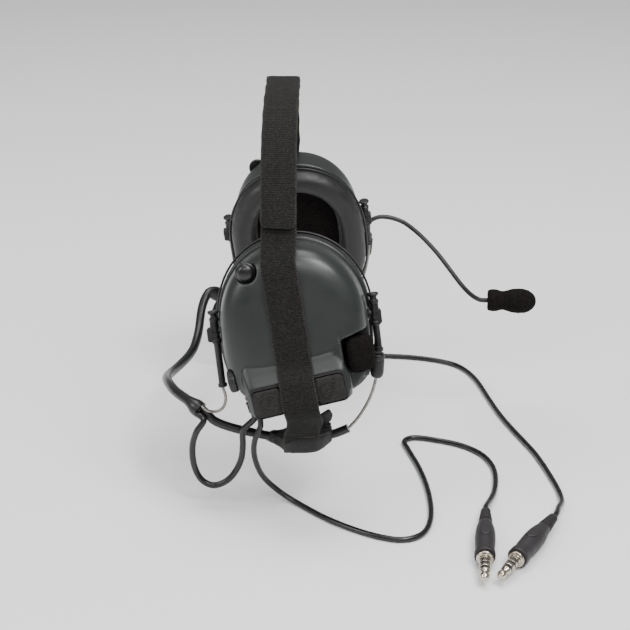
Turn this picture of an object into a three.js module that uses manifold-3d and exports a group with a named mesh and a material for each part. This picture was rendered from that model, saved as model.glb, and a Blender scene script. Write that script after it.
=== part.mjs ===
// Behind-the-neck communication headset: two electronic ear cups on a sleeved
// wire neck band, an overhead webbing strap, a boom microphone and two leads.
// Millimetres. +X points forward from the wearer's face, +Y to the wearer's
// left and +Z up. The origin lies midway between the two ear cups.

import * as THREE from 'three';
import { mergeVertices } from 'three/addons/utils/BufferGeometryUtils.js';
import Module from 'manifold-3d';

// Driving dimensions
const GAP = 0.3;
const CUP_DISTANCE = 101;
const CUP_PITCH = THREE.MathUtils.degToRad(7);
const CUP_LEAN = THREE.MathUtils.degToRad(12);
const CUP_HALF_LENGTH = 47;
const CUP_HALF_HEIGHT = 52;
const CUP_MIDDLE = -1.5;
const CUP_TOP_ROUNDING = 2.1;
const CUP_BOTTOM_ROUNDING = 3.2;
const OUTLINE_POINTS = 28;

const PIVOT_DEPTH = -4;
const FRONT_GUIDE_X = 49.4;
const REAR_GUIDE_X = -52.2;
const FRONT_GUIDE_BOTTOM = -25.3;
const REAR_GUIDE_BOTTOM = -37;
const GUIDE_TOP = 12.7;
const WIRE_RADIUS = 1;
const WIRE_IN_GUIDE = 17;

const KEYPAD_TILT = THREE.MathUtils.degToRad(7);
const KEYPAD_MIDDLE = new THREE.Vector3(-2, -40, 0);
const KEYPAD_FACE = 31;
const BUTTON_SPACING = 38.6;
const BUTTON_TRAVEL = 1.2;

const BATTERY_RADIUS = 5.25;
const BATTERY_LENGTH = 44.5;
const BATTERY_TILT = THREE.MathUtils.degToRad(7);
const BATTERY_CAP = new THREE.Vector3(-43.5, -30.3, 13);

const PORT_TOP = new THREE.Vector3(48.7, -25.5, 4.5);
const PORT_BOTTOM = new THREE.Vector3(45.9, -40.8, 4.5);
const PORT_RADIUS = 4.3;

const KEEPER_TONGUE_SLANT = THREE.MathUtils.degToRad(35);

const SHEATH_RADIUS = 2.9;
const SLEEVE_RADIUS = 3.3;
const LINK_RADIUS = 2.1;
const LEAD_RADIUS = 1.9;
const STRAP_WIDTH = 22;
const STRAP_THICKNESS = 1.8;
const TABLE_Z = -125;

const wasm = await Module();
wasm.setup();

const MATERIALS = {
  shell: { color: 0x3b403c, roughness: 0.45 },
  plastic: { color: 0x1c1c1d, roughness: 0.5 },
  rubber: { color: 0x161616, roughness: 0.8 },
  leather: { color: 0x151515, roughness: 0.6 },
  foam: { color: 0x1b1919, roughness: 1 },
  fabric: { color: 0x1d1d1e, roughness: 0.95 },
  board: { color: 0x1f4a2c, roughness: 0.6 },
  steel: { color: 0xb9b6ae, roughness: 0.3, metalness: 1 },
  copper: { color: 0xc9a26a, roughness: 0.3, metalness: 1 },
};

const group = new THREE.Group();
group.name = 'headset';

function v(x, y, z) {
  return new THREE.Vector3(x, y, z);
}

// Joins equal vertices and drops the empty triangles that this leaves.
function weld(geometry) {
  const bare = new THREE.BufferGeometry();
  bare.setAttribute('position', geometry.getAttribute('position').clone());
  if (geometry.index) {
    bare.setIndex(geometry.index.clone());
  }
  const merged = mergeVertices(bare, 1e-4);
  const kept = [];
  const index = merged.index.array;
  for (let i = 0; i < index.length; i += 3) {
    const [a, b, c] = index.slice(i, i + 3);
    if (a !== b && b !== c && c !== a) {
      kept.push(a, b, c);
    }
  }
  merged.setIndex(kept);
  return merged;
}

function flip(geometry) {
  const index = Array.from(geometry.index.array);
  for (let i = 0; i < index.length; i += 3) {
    [index[i + 1], index[i + 2]] = [index[i + 2], index[i + 1]];
  }
  geometry.setIndex(index);
  return geometry;
}

function volumeOf(geometry) {
  const position = geometry.getAttribute('position');
  const index = geometry.index.array;
  const corner = [v(0, 0, 0), v(0, 0, 0), v(0, 0, 0)];
  let total = 0;
  for (let i = 0; i < index.length; i += 3) {
    corner.forEach((point, k) => point.fromBufferAttribute(position, index[i + k]));
    total += corner[0].dot(corner[1].clone().cross(corner[2])) / 6;
  }
  return total;
}

function facingOut(geometry) {
  const welded = weld(geometry);
  return volumeOf(welded) < 0 ? flip(welded) : welded;
}

// A closed body through rings of equal count. Each end is closed by a fan.
function loft(rings) {
  const count = rings[0].length;
  const points = rings.flat();
  const index = [];
  for (let r = 0; r < rings.length - 1; r += 1) {
    for (let i = 0; i < count; i += 1) {
      const here = r * count + i;
      const next = r * count + ((i + 1) % count);
      index.push(here, next, next + count, here, next + count, here + count);
    }
  }
  [0, rings.length - 1].forEach((r) => {
    const centre = rings[r].reduce((sum, point) => sum.add(point), v(0, 0, 0)).divideScalar(count);
    const middle = points.push(centre) - 1;
    for (let i = 0; i < count; i += 1) {
      const here = r * count + i;
      const next = r * count + ((i + 1) % count);
      index.push(...(r === 0 ? [middle, next, here] : [middle, here, next]));
    }
  });
  const geometry = new THREE.BufferGeometry().setFromPoints(points);
  geometry.setIndex(index);
  return facingOut(geometry);
}

// A closed loop of equal closed sections, such as an ear cushion.
function loop(sections) {
  const count = sections[0].length;
  const index = [];
  sections.forEach((_, s) => {
    const after = (s + 1) % sections.length;
    for (let i = 0; i < count; i += 1) {
      const j = (i + 1) % count;
      const corners = [s * count + i, s * count + j, after * count + j, after * count + i];
      index.push(corners[0], corners[1], corners[2], corners[0], corners[2], corners[3]);
    }
  });
  const geometry = new THREE.BufferGeometry().setFromPoints(sections.flat());
  geometry.setIndex(index);
  return facingOut(geometry);
}

// A turned body. The profile holds [radius, height] pairs from axis to axis.
function turned(profile, origin, direction, segments = 16) {
  const points = profile.map(([radius, height]) => new THREE.Vector2(radius, height));
  const geometry = new THREE.LatheGeometry(points, segments);
  const turn = new THREE.Quaternion().setFromUnitVectors(v(0, 1, 0), direction.clone().normalize());
  geometry.applyQuaternion(turn);
  geometry.translate(origin.x, origin.y, origin.z);
  return facingOut(geometry);
}

function rod(radius, from, to, segments = 16) {
  const along = to.clone().sub(from);
  const length = along.length();
  return turned([[0, 0], [radius, 0], [radius, length], [0, length]], from, along, segments);
}

function block(width, height, depth, centre, tilt = 0) {
  const geometry = new THREE.BoxGeometry(width, height, depth);
  geometry.rotateZ(tilt);
  geometry.translate(centre.x, centre.y, centre.z);
  return facingOut(geometry);
}

function tube(points, radius, sides, steps) {
  const circle = new THREE.Shape();
  circle.absarc(0, 0, radius, 0, Math.PI * 2);
  const curve = new THREE.CatmullRomCurve3(points, false, 'centripetal');
  const geometry = new THREE.ExtrudeGeometry(circle, {
    steps,
    curveSegments: sides / 2,
    bevelEnabled: false,
    extrudePath: curve,
  });
  return facingOut(geometry);
}

// A ring of a rounded rectangle at one height, three points to a corner.
function roundedRing(halfU, lowV, highV, corner, height) {
  const centres = [
    [halfU - corner, highV - corner],
    [corner - halfU, highV - corner],
    [corner - halfU, lowV + corner],
    [halfU - corner, lowV + corner],
  ];
  return centres.flatMap(([u, w], quarter) => [0, 0.5, 1].map((step) => {
    const angle = (quarter + step) * (Math.PI / 2);
    return v(u + corner * Math.cos(angle), w + corner * Math.sin(angle), height);
  }));
}

function prism(corners, low, high) {
  return loft([low, high].map((height) => corners.map(([x, y]) => v(x, y, height))));
}

function solid(geometry) {
  return new wasm.Manifold(new wasm.Mesh({
    numProp: 3,
    vertProperties: new Float32Array(geometry.getAttribute('position').array),
    triVerts: new Uint32Array(geometry.index.array),
  }));
}

function bodyOf(manifold) {
  const mesh = manifold.getMesh();
  const geometry = new THREE.BufferGeometry();
  geometry.setAttribute('position', new THREE.BufferAttribute(new Float32Array(mesh.vertProperties), 3));
  geometry.setIndex(Array.from(mesh.triVerts));
  return facingOut(geometry);
}

function cut(geometry, ...tools) {
  return bodyOf(tools.reduce((left, tool) => left.subtract(solid(tool)), solid(geometry)));
}

function join(...geometries) {
  return bodyOf(geometries.map(solid).reduce((left, right) => left.add(right)));
}

// Cup frame: X forward along the pivot line, Y up the cup, Z out from the head.
const FORWARD = v(1, 0, 0).applyAxisAngle(v(0, 1, 0), -CUP_PITCH);
const OUTWARD = v(0, -Math.cos(CUP_LEAN), Math.sin(CUP_LEAN)).applyAxisAngle(v(0, 1, 0), -CUP_PITCH);
const RIGHT_CUP = new THREE.Matrix4()
  .makeBasis(FORWARD, OUTWARD.clone().cross(FORWARD), OUTWARD)
  .setPosition(0, -CUP_DISTANCE, 0);
const MIRROR = new THREE.Matrix4().makeScale(1, -1, 1);
const LEFT_CUP = MIRROR.clone().multiply(RIGHT_CUP);
const IN_PLACE = new THREE.Matrix4();

function add(name, geometry, look, frame = IN_PLACE) {
  const placed = geometry.clone().applyMatrix4(frame);
  const material = new THREE.MeshStandardMaterial(MATERIALS[look]);
  const mesh = new THREE.Mesh(frame.determinant() < 0 ? flip(placed) : placed, material);
  mesh.name = name;
  group.add(mesh);
}

function inRightCup(x, y, z) {
  return v(x, y, z).applyMatrix4(RIGHT_CUP);
}

function mirrored(points) {
  return points.map((point) => point.clone().applyMatrix4(MIRROR));
}

// One point on the cup outline: nearly elliptic above, squarer below.
function outlinePoint(angle, inset, height) {
  const c = Math.cos(angle);
  const s = Math.sin(angle);
  const power = 2 / (s > 0 ? CUP_TOP_ROUNDING : CUP_BOTTOM_ROUNDING);
  const x = Math.sign(c) * (CUP_HALF_LENGTH - inset) * Math.abs(c) ** power;
  const y = Math.sign(s) * (CUP_HALF_HEIGHT - inset) * Math.abs(s) ** power;
  return v(CUP_MIDDLE + x, y, height);
}

function outlineRing(inset, height, count = OUTLINE_POINTS) {
  return Array.from({ length: count }, (_, i) => outlinePoint((i / count) * Math.PI * 2, inset, height));
}

function outlineBody(steps, count = OUTLINE_POINTS) {
  return loft(steps.map(([inset, height]) => outlineRing(inset, height, count)));
}

function onKeypad(geometry) {
  geometry.rotateZ(KEYPAD_TILT);
  geometry.translate(KEYPAD_MIDDLE.x, KEYPAD_MIDDLE.y, 0);
  return geometry;
}

const BATTERY_AXIS = v(Math.cos(BATTERY_TILT), Math.sin(BATTERY_TILT), 0);
const BATTERY_UP = v(-Math.sin(BATTERY_TILT), Math.cos(BATTERY_TILT), 0);

function onBattery(distance) {
  return BATTERY_CAP.clone().addScaledVector(BATTERY_AXIS, distance);
}

// Recess for the ambient microphone and the lowered corner beneath it
function micRecess(grow) {
  const corners = [
    [27 - grow, -10 + grow],
    [27.6 - grow, -25],
    [31 - grow, -33.4 - grow],
    [62, -33.4 - grow],
    [62, -0.5 + grow],
  ];
  const lowered = [[30.5 - grow, -32 + grow], [62, -32 + grow], [62, -62], [30.5 - grow, -62]];
  return join(prism(corners, 2.6 - grow, 50), prism(lowered, 9 - grow, 50));
}

// Rear corner cleared for the battery cap, square to the battery
function capRecess(grow) {
  const centre = onBattery(2.4 + grow - 20).addScaledVector(BATTERY_UP, 7.9 - 20 + grow);
  return block(40, 40, 45 + 2 * grow, centre.add(v(0, 0, 4.5)), BATTERY_TILT);
}

// Raised edge that runs down from the dome to the keypad along the microphone recess
function recessRidge() {
  const sections = [
    [-4, 21, 27.5, 24.6], [-12, 21.5, 28, 26.2], [-22, 22.5, 29, 28.2],
    [-30, 24, 32, 29.8], [-40, 25, 33.5, 30.2],
  ];
  return loft(sections.map(([height, inner, outer, top]) => [
    v(inner, height, 15), v(outer, height, 15), v(outer, height, top), v(inner, height, top),
  ]));
}

function pivotBoss(sign, radius, from, to) {
  return rod(radius, v(sign * from, 0, PIVOT_DEPTH), v(sign * to, 0, PIVOT_DEPTH), 14);
}

function cupShell(withKeypad) {
  const outside = outlineBody([
    [-1.6, -12], [-1.6, -9.4], [0, -8.6], [0.8, 6], [2, 14],
    [4.6, 19.2], [9.2, 22.8], [17, 25],
  ]);
  const inside = outlineBody([[2.2, -13], [2.8, 4], [4.8, 12.5], [9.6, 18.5], [20, 21.8]], 20);
  const housing = onKeypad(loft([
    roundedRing(31, -10.5, 18, 4, 10),
    roundedRing(31, -10.3, 18, 4, 24.2),
    roundedRing(30.2, -10, 10.4, 4, 30.4),
    roundedRing(29.6, -9.5, 9.8, 3.6, KEYPAD_FACE),
  ]));
  const tubeWall = rod(7.6, onBattery(2.6), onBattery(51), 16);
  const bore = rod(BATTERY_RADIUS + 0.45, onBattery(-2), onBattery(49), 16);
  const leadBoss = rod(3.8, v(-30, -40, 5.4), v(-30, -50.5, 5.4), 12);
  const linkBoss = rod(3.6, v(-35.2, -36, 0), v(-35.2, -47, 0), 12);
  const portBoss = block(4.6, 5, 5, v(39.6, -35.5, 4.6));
  const frontBoss = pivotBoss(1, 3.4, 38, 46.1);
  const rearBoss = pivotBoss(-1, 3.4, 41, 49);
  const hollow = cut(
    inside, micRecess(2.2), capRecess(2.2), tubeWall,
    pivotBoss(1, 4, 38, 60), pivotBoss(-1, 4, 41, 60),
  );
  const plug = rod(6.8, v(-26.5, 38, 17.6), v(-26.5, 38, 40), 18);
  const pocket = onKeypad(loft([roundedRing(26.5, -7.2, 7.4, 2, 25), roundedRing(26.5, -7.2, 7.4, 2, 40)]));
  const bosses = [leadBoss, linkBoss, portBoss, frontBoss, rearBoss];
  const body = join(outside, housing, recessRidge(), tubeWall, ...bosses);
  const tools = [
    hollow, micRecess(0), capRecess(0), bore, plug,
    pivotBoss(1, 2.3, 43, 60), pivotBoss(-1, 2.3, 46, 70),
  ];
  return cut(body, ...tools, ...(withKeypad ? [pocket] : []));
}

function ovalRing(section, count) {
  return loop(Array.from({ length: count }, (_, i) => {
    const angle = (i / count) * Math.PI * 2;
    return section.map(([inset, height]) => outlinePoint(angle, inset, height));
  }));
}

function cushion() {
  return ovalRing([
    [-1.2, -14.6], [-2.6, -20], [-1.6, -26], [1.8, -29.8],
    [6.8, -31], [12, -29.4], [15.4, -23], [13, -14.6],
  ], 26);
}

function backplate() {
  return ovalRing([[-1.4, -14.3], [-1.4, -12.3], [17, -12.3], [17, -14.3]], 24);
}

function padButton() {
  return onKeypad(loft([
    roundedRing(4.5, -4.5, 4.5, 1.5, 28),
    roundedRing(4.5, -4.5, 4.5, 1.5, 32.6),
    roundedRing(9.3, -8.2, 8.2, 3, 32.7),
    roundedRing(9.3, -8.2, 8.2, 3, 34.2),
    roundedRing(8.6, -7.5, 7.5, 2.6, 35),
    roundedRing(6.6, -5.5, 5.5, 2, 35.3),
  ]));
}

function keypadBase() {
  const slab = loft([
    roundedRing(29.4, -9.4, 9.6, 3.6, 31.3),
    roundedRing(29.4, -9.4, 9.6, 3.6, 33.6),
    roundedRing(28.8, -8.9, 9.1, 3, 34.1),
  ]);
  const holes = [-1, 1].map((side) => {
    const hole = loft([roundedRing(9.7, -8.6, 8.6, 3.2, 30), roundedRing(9.7, -8.6, 8.6, 3.2, 36)]);
    return hole.translate(side * (BUTTON_SPACING / 2), 0, 0);
  });
  return onKeypad(cut(slab, ...holes));
}

function coverPlate() {
  return onKeypad(loft([
    roundedRing(29.4, -9.4, 9.6, 3.6, 31.3),
    roundedRing(29.4, -9.4, 9.6, 3.6, 33.2),
    roundedRing(28.6, -8.6, 8.8, 3, 33.9),
  ]));
}

// Guide for one end of the neck wire, with its pivot pin inward and a wing outward
function guide(x, bottom, wingReach) {
  const profile = [
    [0, 10.5], [1.3, 10.5], [1.3, bottom], [2.9, bottom], [2.9, bottom + 2.6], [2.2, bottom + 3],
    [2.3, -8.4], [3.2, -8], [3.2, -5.6], [2.6, -5.2], [2.6, 5.2], [3.2, 5.6], [3.2, 8],
    [2.2, 8.6], [2.2, 10.2], [3.7, 10.6], [3.7, GUIDE_TOP], [0, GUIDE_TOP],
  ];
  const barrel = turned(profile, v(x, 0, PIVOT_DEPTH), v(0, 1, 0), 10);
  const side = Math.sign(x);
  const pin = rod(1.9, v(x - side * 5.4, 0, PIVOT_DEPTH), v(x - side * 2.1, 0, PIVOT_DEPTH), 10);
  const wing = block(wingReach - 1.4, 9, 5, v(x + side * (wingReach + 1.4) / 2, -2.6, PIVOT_DEPTH));
  return join(barrel, pin, wing);
}

function batteryCap() {
  const disc = turned(
    [[0, -2.6], [6.4, -2.6], [7.3, -1.8], [7.3, 2.1], [5.2, 2.1], [5.2, 3.1], [0, 3.1]],
    BATTERY_CAP, BATTERY_AXIS, 18,
  );
  return cut(disc, block(1.6, 1.6, 11, onBattery(-2.6), BATTERY_TILT));
}

function battery() {
  const radius = BATTERY_RADIUS;
  const length = BATTERY_LENGTH - 1.2;
  return turned(
    [[0, 0], [radius, 0], [radius, length], [2, length], [2, BATTERY_LENGTH], [0, BATTERY_LENGTH]],
    onBattery(3.6), BATTERY_AXIS, 14,
  );
}

function micFoam() {
  const outer = [
    [5.6, -29.8, -12, 3.2, 34.9],
    [6.4, -30.8, -11, 9.4, 35.2],
    [8.6, -31.2, -9.9, 12.4, 37.6],
    [9, -31.4, -9.5, 19, 37.9],
    [6, -28.4, -13, 23.8, 37.4],
  ];
  const body = loft(outer.map(([half, low, high, height, middle]) => {
    const ring = roundedRing(half, low, high, Math.min(4.4, half * 0.7), height);
    return ring.map((point) => point.add(v(middle, 0, 0)));
  }));
  return cut(body, rod(3.4, v(35.5, -20.6, 0), v(35.5, -20.6, 14), 10));
}

function portBarrel() {
  const axis = PORT_TOP.clone().sub(PORT_BOTTOM);
  const length = axis.length();
  const profile = [
    [0, 0], [2.6, 0.6], [3.9, 2.2], [PORT_RADIUS, 4.6], [PORT_RADIUS, length - 0.4], [3.9, length],
    [2.4, length], [2.4, length - 8], [0, length - 8],
  ];
  return turned(profile, PORT_BOTTOM, axis, 14);
}

function portPlug() {
  const axis = PORT_TOP.clone().sub(PORT_BOTTOM);
  const profile = [[0, -7], [2, -7], [2, 0.3], [3.4, 0.3], [3.4, 1.5], [1.5, 1.9], [1.5, 4.8], [0, 4.8]];
  return turned(profile, PORT_TOP, axis, 10);
}

function gland(x, top, depth, tilt) {
  const direction = v(tilt, -1, 0);
  return turned([[0, 0], [3.5, 0], [3.4, 1.6], [2.7, 7], [0, 7]], v(x, top, depth), direction, 10);
}

const LEAD_GLAND = { x: -30, top: -51, depth: 5.4, tilt: -0.05 };
const LINK_GLAND = { x: -35.2, top: -47.7, depth: 0, tilt: 0.1 };

// Cups and what each carries
[['right', RIGHT_CUP], ['left', LEFT_CUP]].forEach(([side, frame]) => {
  const isRight = side === 'right';
  add(`${side}_cup_shell`, cupShell(isRight), 'shell', frame);
  add(`${side}_cushion`, cushion(), 'leather', frame);
  add(`${side}_backplate`, backplate(), 'plastic', frame);
  add(`${side}_ear_foam`, outlineBody([[8, -11.9], [8, -6.4]], 24), 'foam', frame);
  add(`${side}_speaker`, turned(
    [[0, -6], [17, -6], [18, -5], [18, -2.6], [11, 2], [0, 2]], v(0, 8, 0), v(0, 0, 1), 18,
  ), 'plastic', frame);
  add(`${side}_dome_plug`, turned(
    [[0, 17.9], [6.4, 17.9], [6.4, 20.2], [5.4, 22.8], [3.2, 24.4], [0, 25]], v(-26.5, 38, 0), v(0, 0, 1), 14,
  ), 'plastic', frame);
  add(`${side}_battery`, battery(), 'steel', frame);
  add(`${side}_battery_cap`, batteryCap(), 'plastic', frame);
  add(`${side}_mic_foam`, micFoam(), 'foam', frame);
  add(`${side}_mic_capsule`, rod(3, v(35.5, -20.6, 2.9), v(35.5, -20.6, 12), 10), 'steel', frame);
  add(`${side}_port_barrel`, portBarrel(), 'plastic', frame);
  add(`${side}_front_guide`, guide(FRONT_GUIDE_X, FRONT_GUIDE_BOTTOM, 4.2), 'plastic', frame);
  add(`${side}_rear_guide`, guide(REAR_GUIDE_X, REAR_GUIDE_BOTTOM, 5.4), 'plastic', frame);
  [['lead_gland', LEAD_GLAND], ['link_gland', LINK_GLAND]].forEach(([name, place]) => {
    add(`${side}_${name}`, gland(place.x, place.top, place.depth, place.tilt), 'rubber', frame);
  });
});

// Controls on the right cup
add('right_circuit_board', block(50, 38, 1.6, v(-2, 12, 3.2)), 'board', RIGHT_CUP);
add('right_keypad_base', keypadBase(), 'rubber', RIGHT_CUP);
[['down', -1], ['up', 1]].forEach(([name, side]) => {
  const shift = v(Math.cos(KEYPAD_TILT), Math.sin(KEYPAD_TILT), 0).multiplyScalar(side * (BUTTON_SPACING / 2));
  add(`right_button_${name}`, padButton().translate(shift.x, shift.y, 0), 'rubber', RIGHT_CUP);
});
add('right_port_plug', portPlug(), 'rubber', RIGHT_CUP);
add('left_cover_plate', coverPlate(), 'rubber', LEFT_CUP);

// Boom microphone on the left cup
const BOOM_END = v(136, 31, -37);
const BOOM_AXIS = v(1, -0.12, 0.02).normalize();

function boomPoint(distance) {
  return BOOM_END.clone().addScaledVector(BOOM_AXIS, distance);
}

function boomArm() {
  const axis = PORT_TOP.clone().sub(PORT_BOTTOM).normalize();
  const peg = turned(
    [[0, -7], [2, -7], [2, 0.3], [3.4, 0.3], [3.4, 4], [2.6, 5], [0, 5]], PORT_TOP, axis, 10,
  ).applyMatrix4(LEFT_CUP);
  const rise = [2, 9, 14].map((height) => {
    return PORT_TOP.clone().addScaledVector(axis, height).applyMatrix4(LEFT_CUP);
  });
  const bend = rise[2].clone().add(v(8, 1, 4));
  const neck = tube(
    [...rise, bend, v(78, 108, -4), v(103, 84, -21), v(120, 50, -35), boomPoint(-6), BOOM_END],
    1.7, 8, 24,
  );
  return join(flip(peg), neck);
}

add('boom_arm', boomArm(), 'plastic');
add('boom_capsule', rod(4, boomPoint(GAP), boomPoint(12), 10), 'steel');
add('boom_windscreen', turned([
  [0, 14], [4.4, 14], [4.4, -1], [7, -0.8], [8, 3], [6.6, 10], [8.2, 15],
  [8.9, 21], [7.6, 28.4], [4, 32.6], [0, 33.8],
], BOOM_END, BOOM_AXIS, 14), 'foam');

// Neck band: four wire ends, the sheaths below the cups and the neck sleeve
const MOUTH = v(-62.5, -102.8, -60.6);
const MOUTH_AXIS = v(-6.5, 4.8, 3.6).normalize();
const MOUTH_UP = v(0, 0, 1).projectOnPlane(MOUTH_AXIS).normalize();
const MOUTH_SIDE = MOUTH_AXIS.clone().cross(MOUTH_UP);

function byMouth(side, up, before) {
  return MOUTH.clone().addScaledVector(MOUTH_AXIS, -before)
    .addScaledVector(MOUTH_SIDE, side).addScaledVector(MOUTH_UP, up);
}

const FRONT_WIRE = [
  inRightCup(FRONT_GUIDE_X, FRONT_GUIDE_BOTTOM + WIRE_IN_GUIDE, PIVOT_DEPTH),
  inRightCup(FRONT_GUIDE_X, FRONT_GUIDE_BOTTOM + 8, PIVOT_DEPTH),
  inRightCup(FRONT_GUIDE_X, FRONT_GUIDE_BOTTOM - 1, PIVOT_DEPTH),
  v(50.4, -103.2, -37.7),
  v(46.4, -103.6, -52),
  v(38.6, -104, -66.2),
  v(33.6, -104, -72.2),
];
const REAR_WIRE = [
  inRightCup(REAR_GUIDE_X, REAR_GUIDE_BOTTOM + WIRE_IN_GUIDE, PIVOT_DEPTH),
  inRightCup(REAR_GUIDE_X, REAR_GUIDE_BOTTOM + 8, PIVOT_DEPTH),
  inRightCup(REAR_GUIDE_X, REAR_GUIDE_BOTTOM - 1, PIVOT_DEPTH),
  v(-45.7, -104.4, -50),
  v(-47.2, -104.8, -57.4),
  v(-52.2, -105.2, -60.4),
  byMouth(-0.6, 4, 4.4),
  byMouth(-0.6, 4, GAP + 0.1),
];
const SHEATH = [
  v(33, -104, -72.7),
  v(25, -104, -76.4),
  v(12, -104, -79.2),
  v(0, -104, -80),
  v(-16, -104, -78.6),
  v(-34, -104, -74.6),
  v(-46, -104, -71),
  v(-54, -104, -67),
  byMouth(2.2, -0.4, 4.4),
  byMouth(2.2, -0.4, GAP + 0.1),
];
const SLEEVE_HALF = [
  MOUTH,
  v(-69, -98, -57),
  v(-79, -84, -56.5),
  v(-86, -62, -60),
  v(-90, -34, -69),
  v(-91.4, -10, -77.5),
];
const SLEEVE = [
  ...SLEEVE_HALF,
  v(-89.4, 10, -82.6),
  v(-84.6, 32, -85.6),
  v(-78.6, 54, -84.6),
  v(-75.6, 74, -76.6),
  v(-74, 88, -65.4),
  ...mirrored(SLEEVE_HALF.slice(0, 2)).reverse(),
];

function sleeveMouth(at, inside) {
  const along = inside.clone().sub(at);
  return turned([[0, 0], [5.5, 0], [5.5, 4], [4.2, 9], [2.4, 12], [0, 12]], at, along, 12);
}

function neckSleeve() {
  const last = SLEEVE.length - 1;
  return join(
    tube(SLEEVE, SLEEVE_RADIUS, 8, 28),
    sleeveMouth(SLEEVE[0], SLEEVE[1]),
    sleeveMouth(SLEEVE[last], SLEEVE[last - 1]),
  );
}

// Webbing from the keeper under a cup, over the cup and up to the crown
const STRAP_LOWER = [v(2.6, -108.6, -84.6), v(2.8, -113, -81.2), v(2.6, -120.4, -73.8), v(3.2, -128.8, -64)];
const STRAP_ON_CUP = [
  inRightCup(-0.9, -58.5, 27),
  inRightCup(-1.2, -53.4, 34),
  inRightCup(-1.8, -48, 37),
  inRightCup(-2.2, -38, 37.2),
  inRightCup(-2.6, -31.6, 36.6),
  inRightCup(-2.9, -27.6, 33.6),
  inRightCup(-3.1, -23.6, 29.8),
  inRightCup(-3.4, -19, 28.4),
  inRightCup(-3.8, -8, 27.9),
  inRightCup(-4.2, 6, 27.9),
  inRightCup(-4.8, 20, 27.6),
  inRightCup(-5.4, 34, 26.4),
  inRightCup(-5.8, 42, 24.6),
];
const STRAP_ON_HEAD = [
  v(-10.8, -108, 57),
  v(-10.9, -101, 69),
  v(-11, -92, 83),
  v(-11, -79, 98.6),
  v(-10.8, -62, 111.4),
  v(-10.4, -42, 120.4),
  v(-10, -20, 124.6),
  v(-9.6, 0, 125.6),
];
const STRAP_END = [v(-9.6, 18, 124.8), v(-9.8, 32, 122.6)];
const OVERLAP = [
  v(-11.6, -107.6, 64.4),
  v(-11.2, -104, 70.4),
  v(-11, -94.2, 84.6),
  v(-11, -80.8, 100.6),
  v(-10.8, -63.2, 113.8),
  v(-10.4, -42.6, 122.9),
  v(-10, -20.3, 127.1),
  v(-9.6, 0, 128.1),
  v(-9.8, 20, 127.1),
  v(-10.2, 37, 123.6),
];

// A flat band with one section at each point of its path
function ribbon(path, roundedStart) {
  const last = path.length - 1;
  return loft(path.map((at, i) => {
    const along = path[Math.min(i + 1, last)].clone().sub(path[Math.max(i - 1, 0)]).normalize();
    const width = at.z < 50 ? FORWARD : v(1, 0, 0);
    const across = width.clone().projectOnPlane(along).normalize();
    const out = across.clone().cross(along).normalize();
    const half = (STRAP_WIDTH / 2) * (roundedStart && i === 0 ? 0.72 : 1);
    return [[-1, -1], [1, -1], [1, 1], [-1, 1]].map(([w, t]) => at.clone()
      .addScaledVector(across, w * half)
      .addScaledVector(out, (t * STRAP_THICKNESS) / 2));
  }));
}

const RIGHT_STRAP = [...STRAP_LOWER, ...STRAP_ON_CUP, ...STRAP_ON_HEAD, ...STRAP_END];
const LEFT_STRAP = [
  ...OVERLAP,
  ...mirrored([...STRAP_LOWER, ...STRAP_ON_CUP, ...STRAP_ON_HEAD.slice(0, 5)]).reverse(),
];

// Keeper that holds the webbing to the sheath, with a slanting tongue over its front end
function keeper() {
  const outer = tube([v(18, -104, -78), v(3, -104, -79.8), v(-13, -104, -79.1)], 4.9, 10, 3);
  const tongue = block(18, 2.6, 7.4, v(0, 0, 0)).rotateY(-KEEPER_TONGUE_SLANT).translate(15.4, -104, -67.2);
  const foot = block(9.4, 5.2, 9, v(17.2, -104, -74.2));
  const bore = tube([v(33, -104, -72.7), ...SHEATH.slice(1, 6)], SHEATH_RADIUS + 0.6, 10, 7);
  return cut(join(outer, tongue, foot), bore);
}

function cableFrom(gland, beyond) {
  return inRightCup(gland.x + gland.tilt * (7 + beyond), gland.top - 7 - beyond, gland.depth);
}

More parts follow.
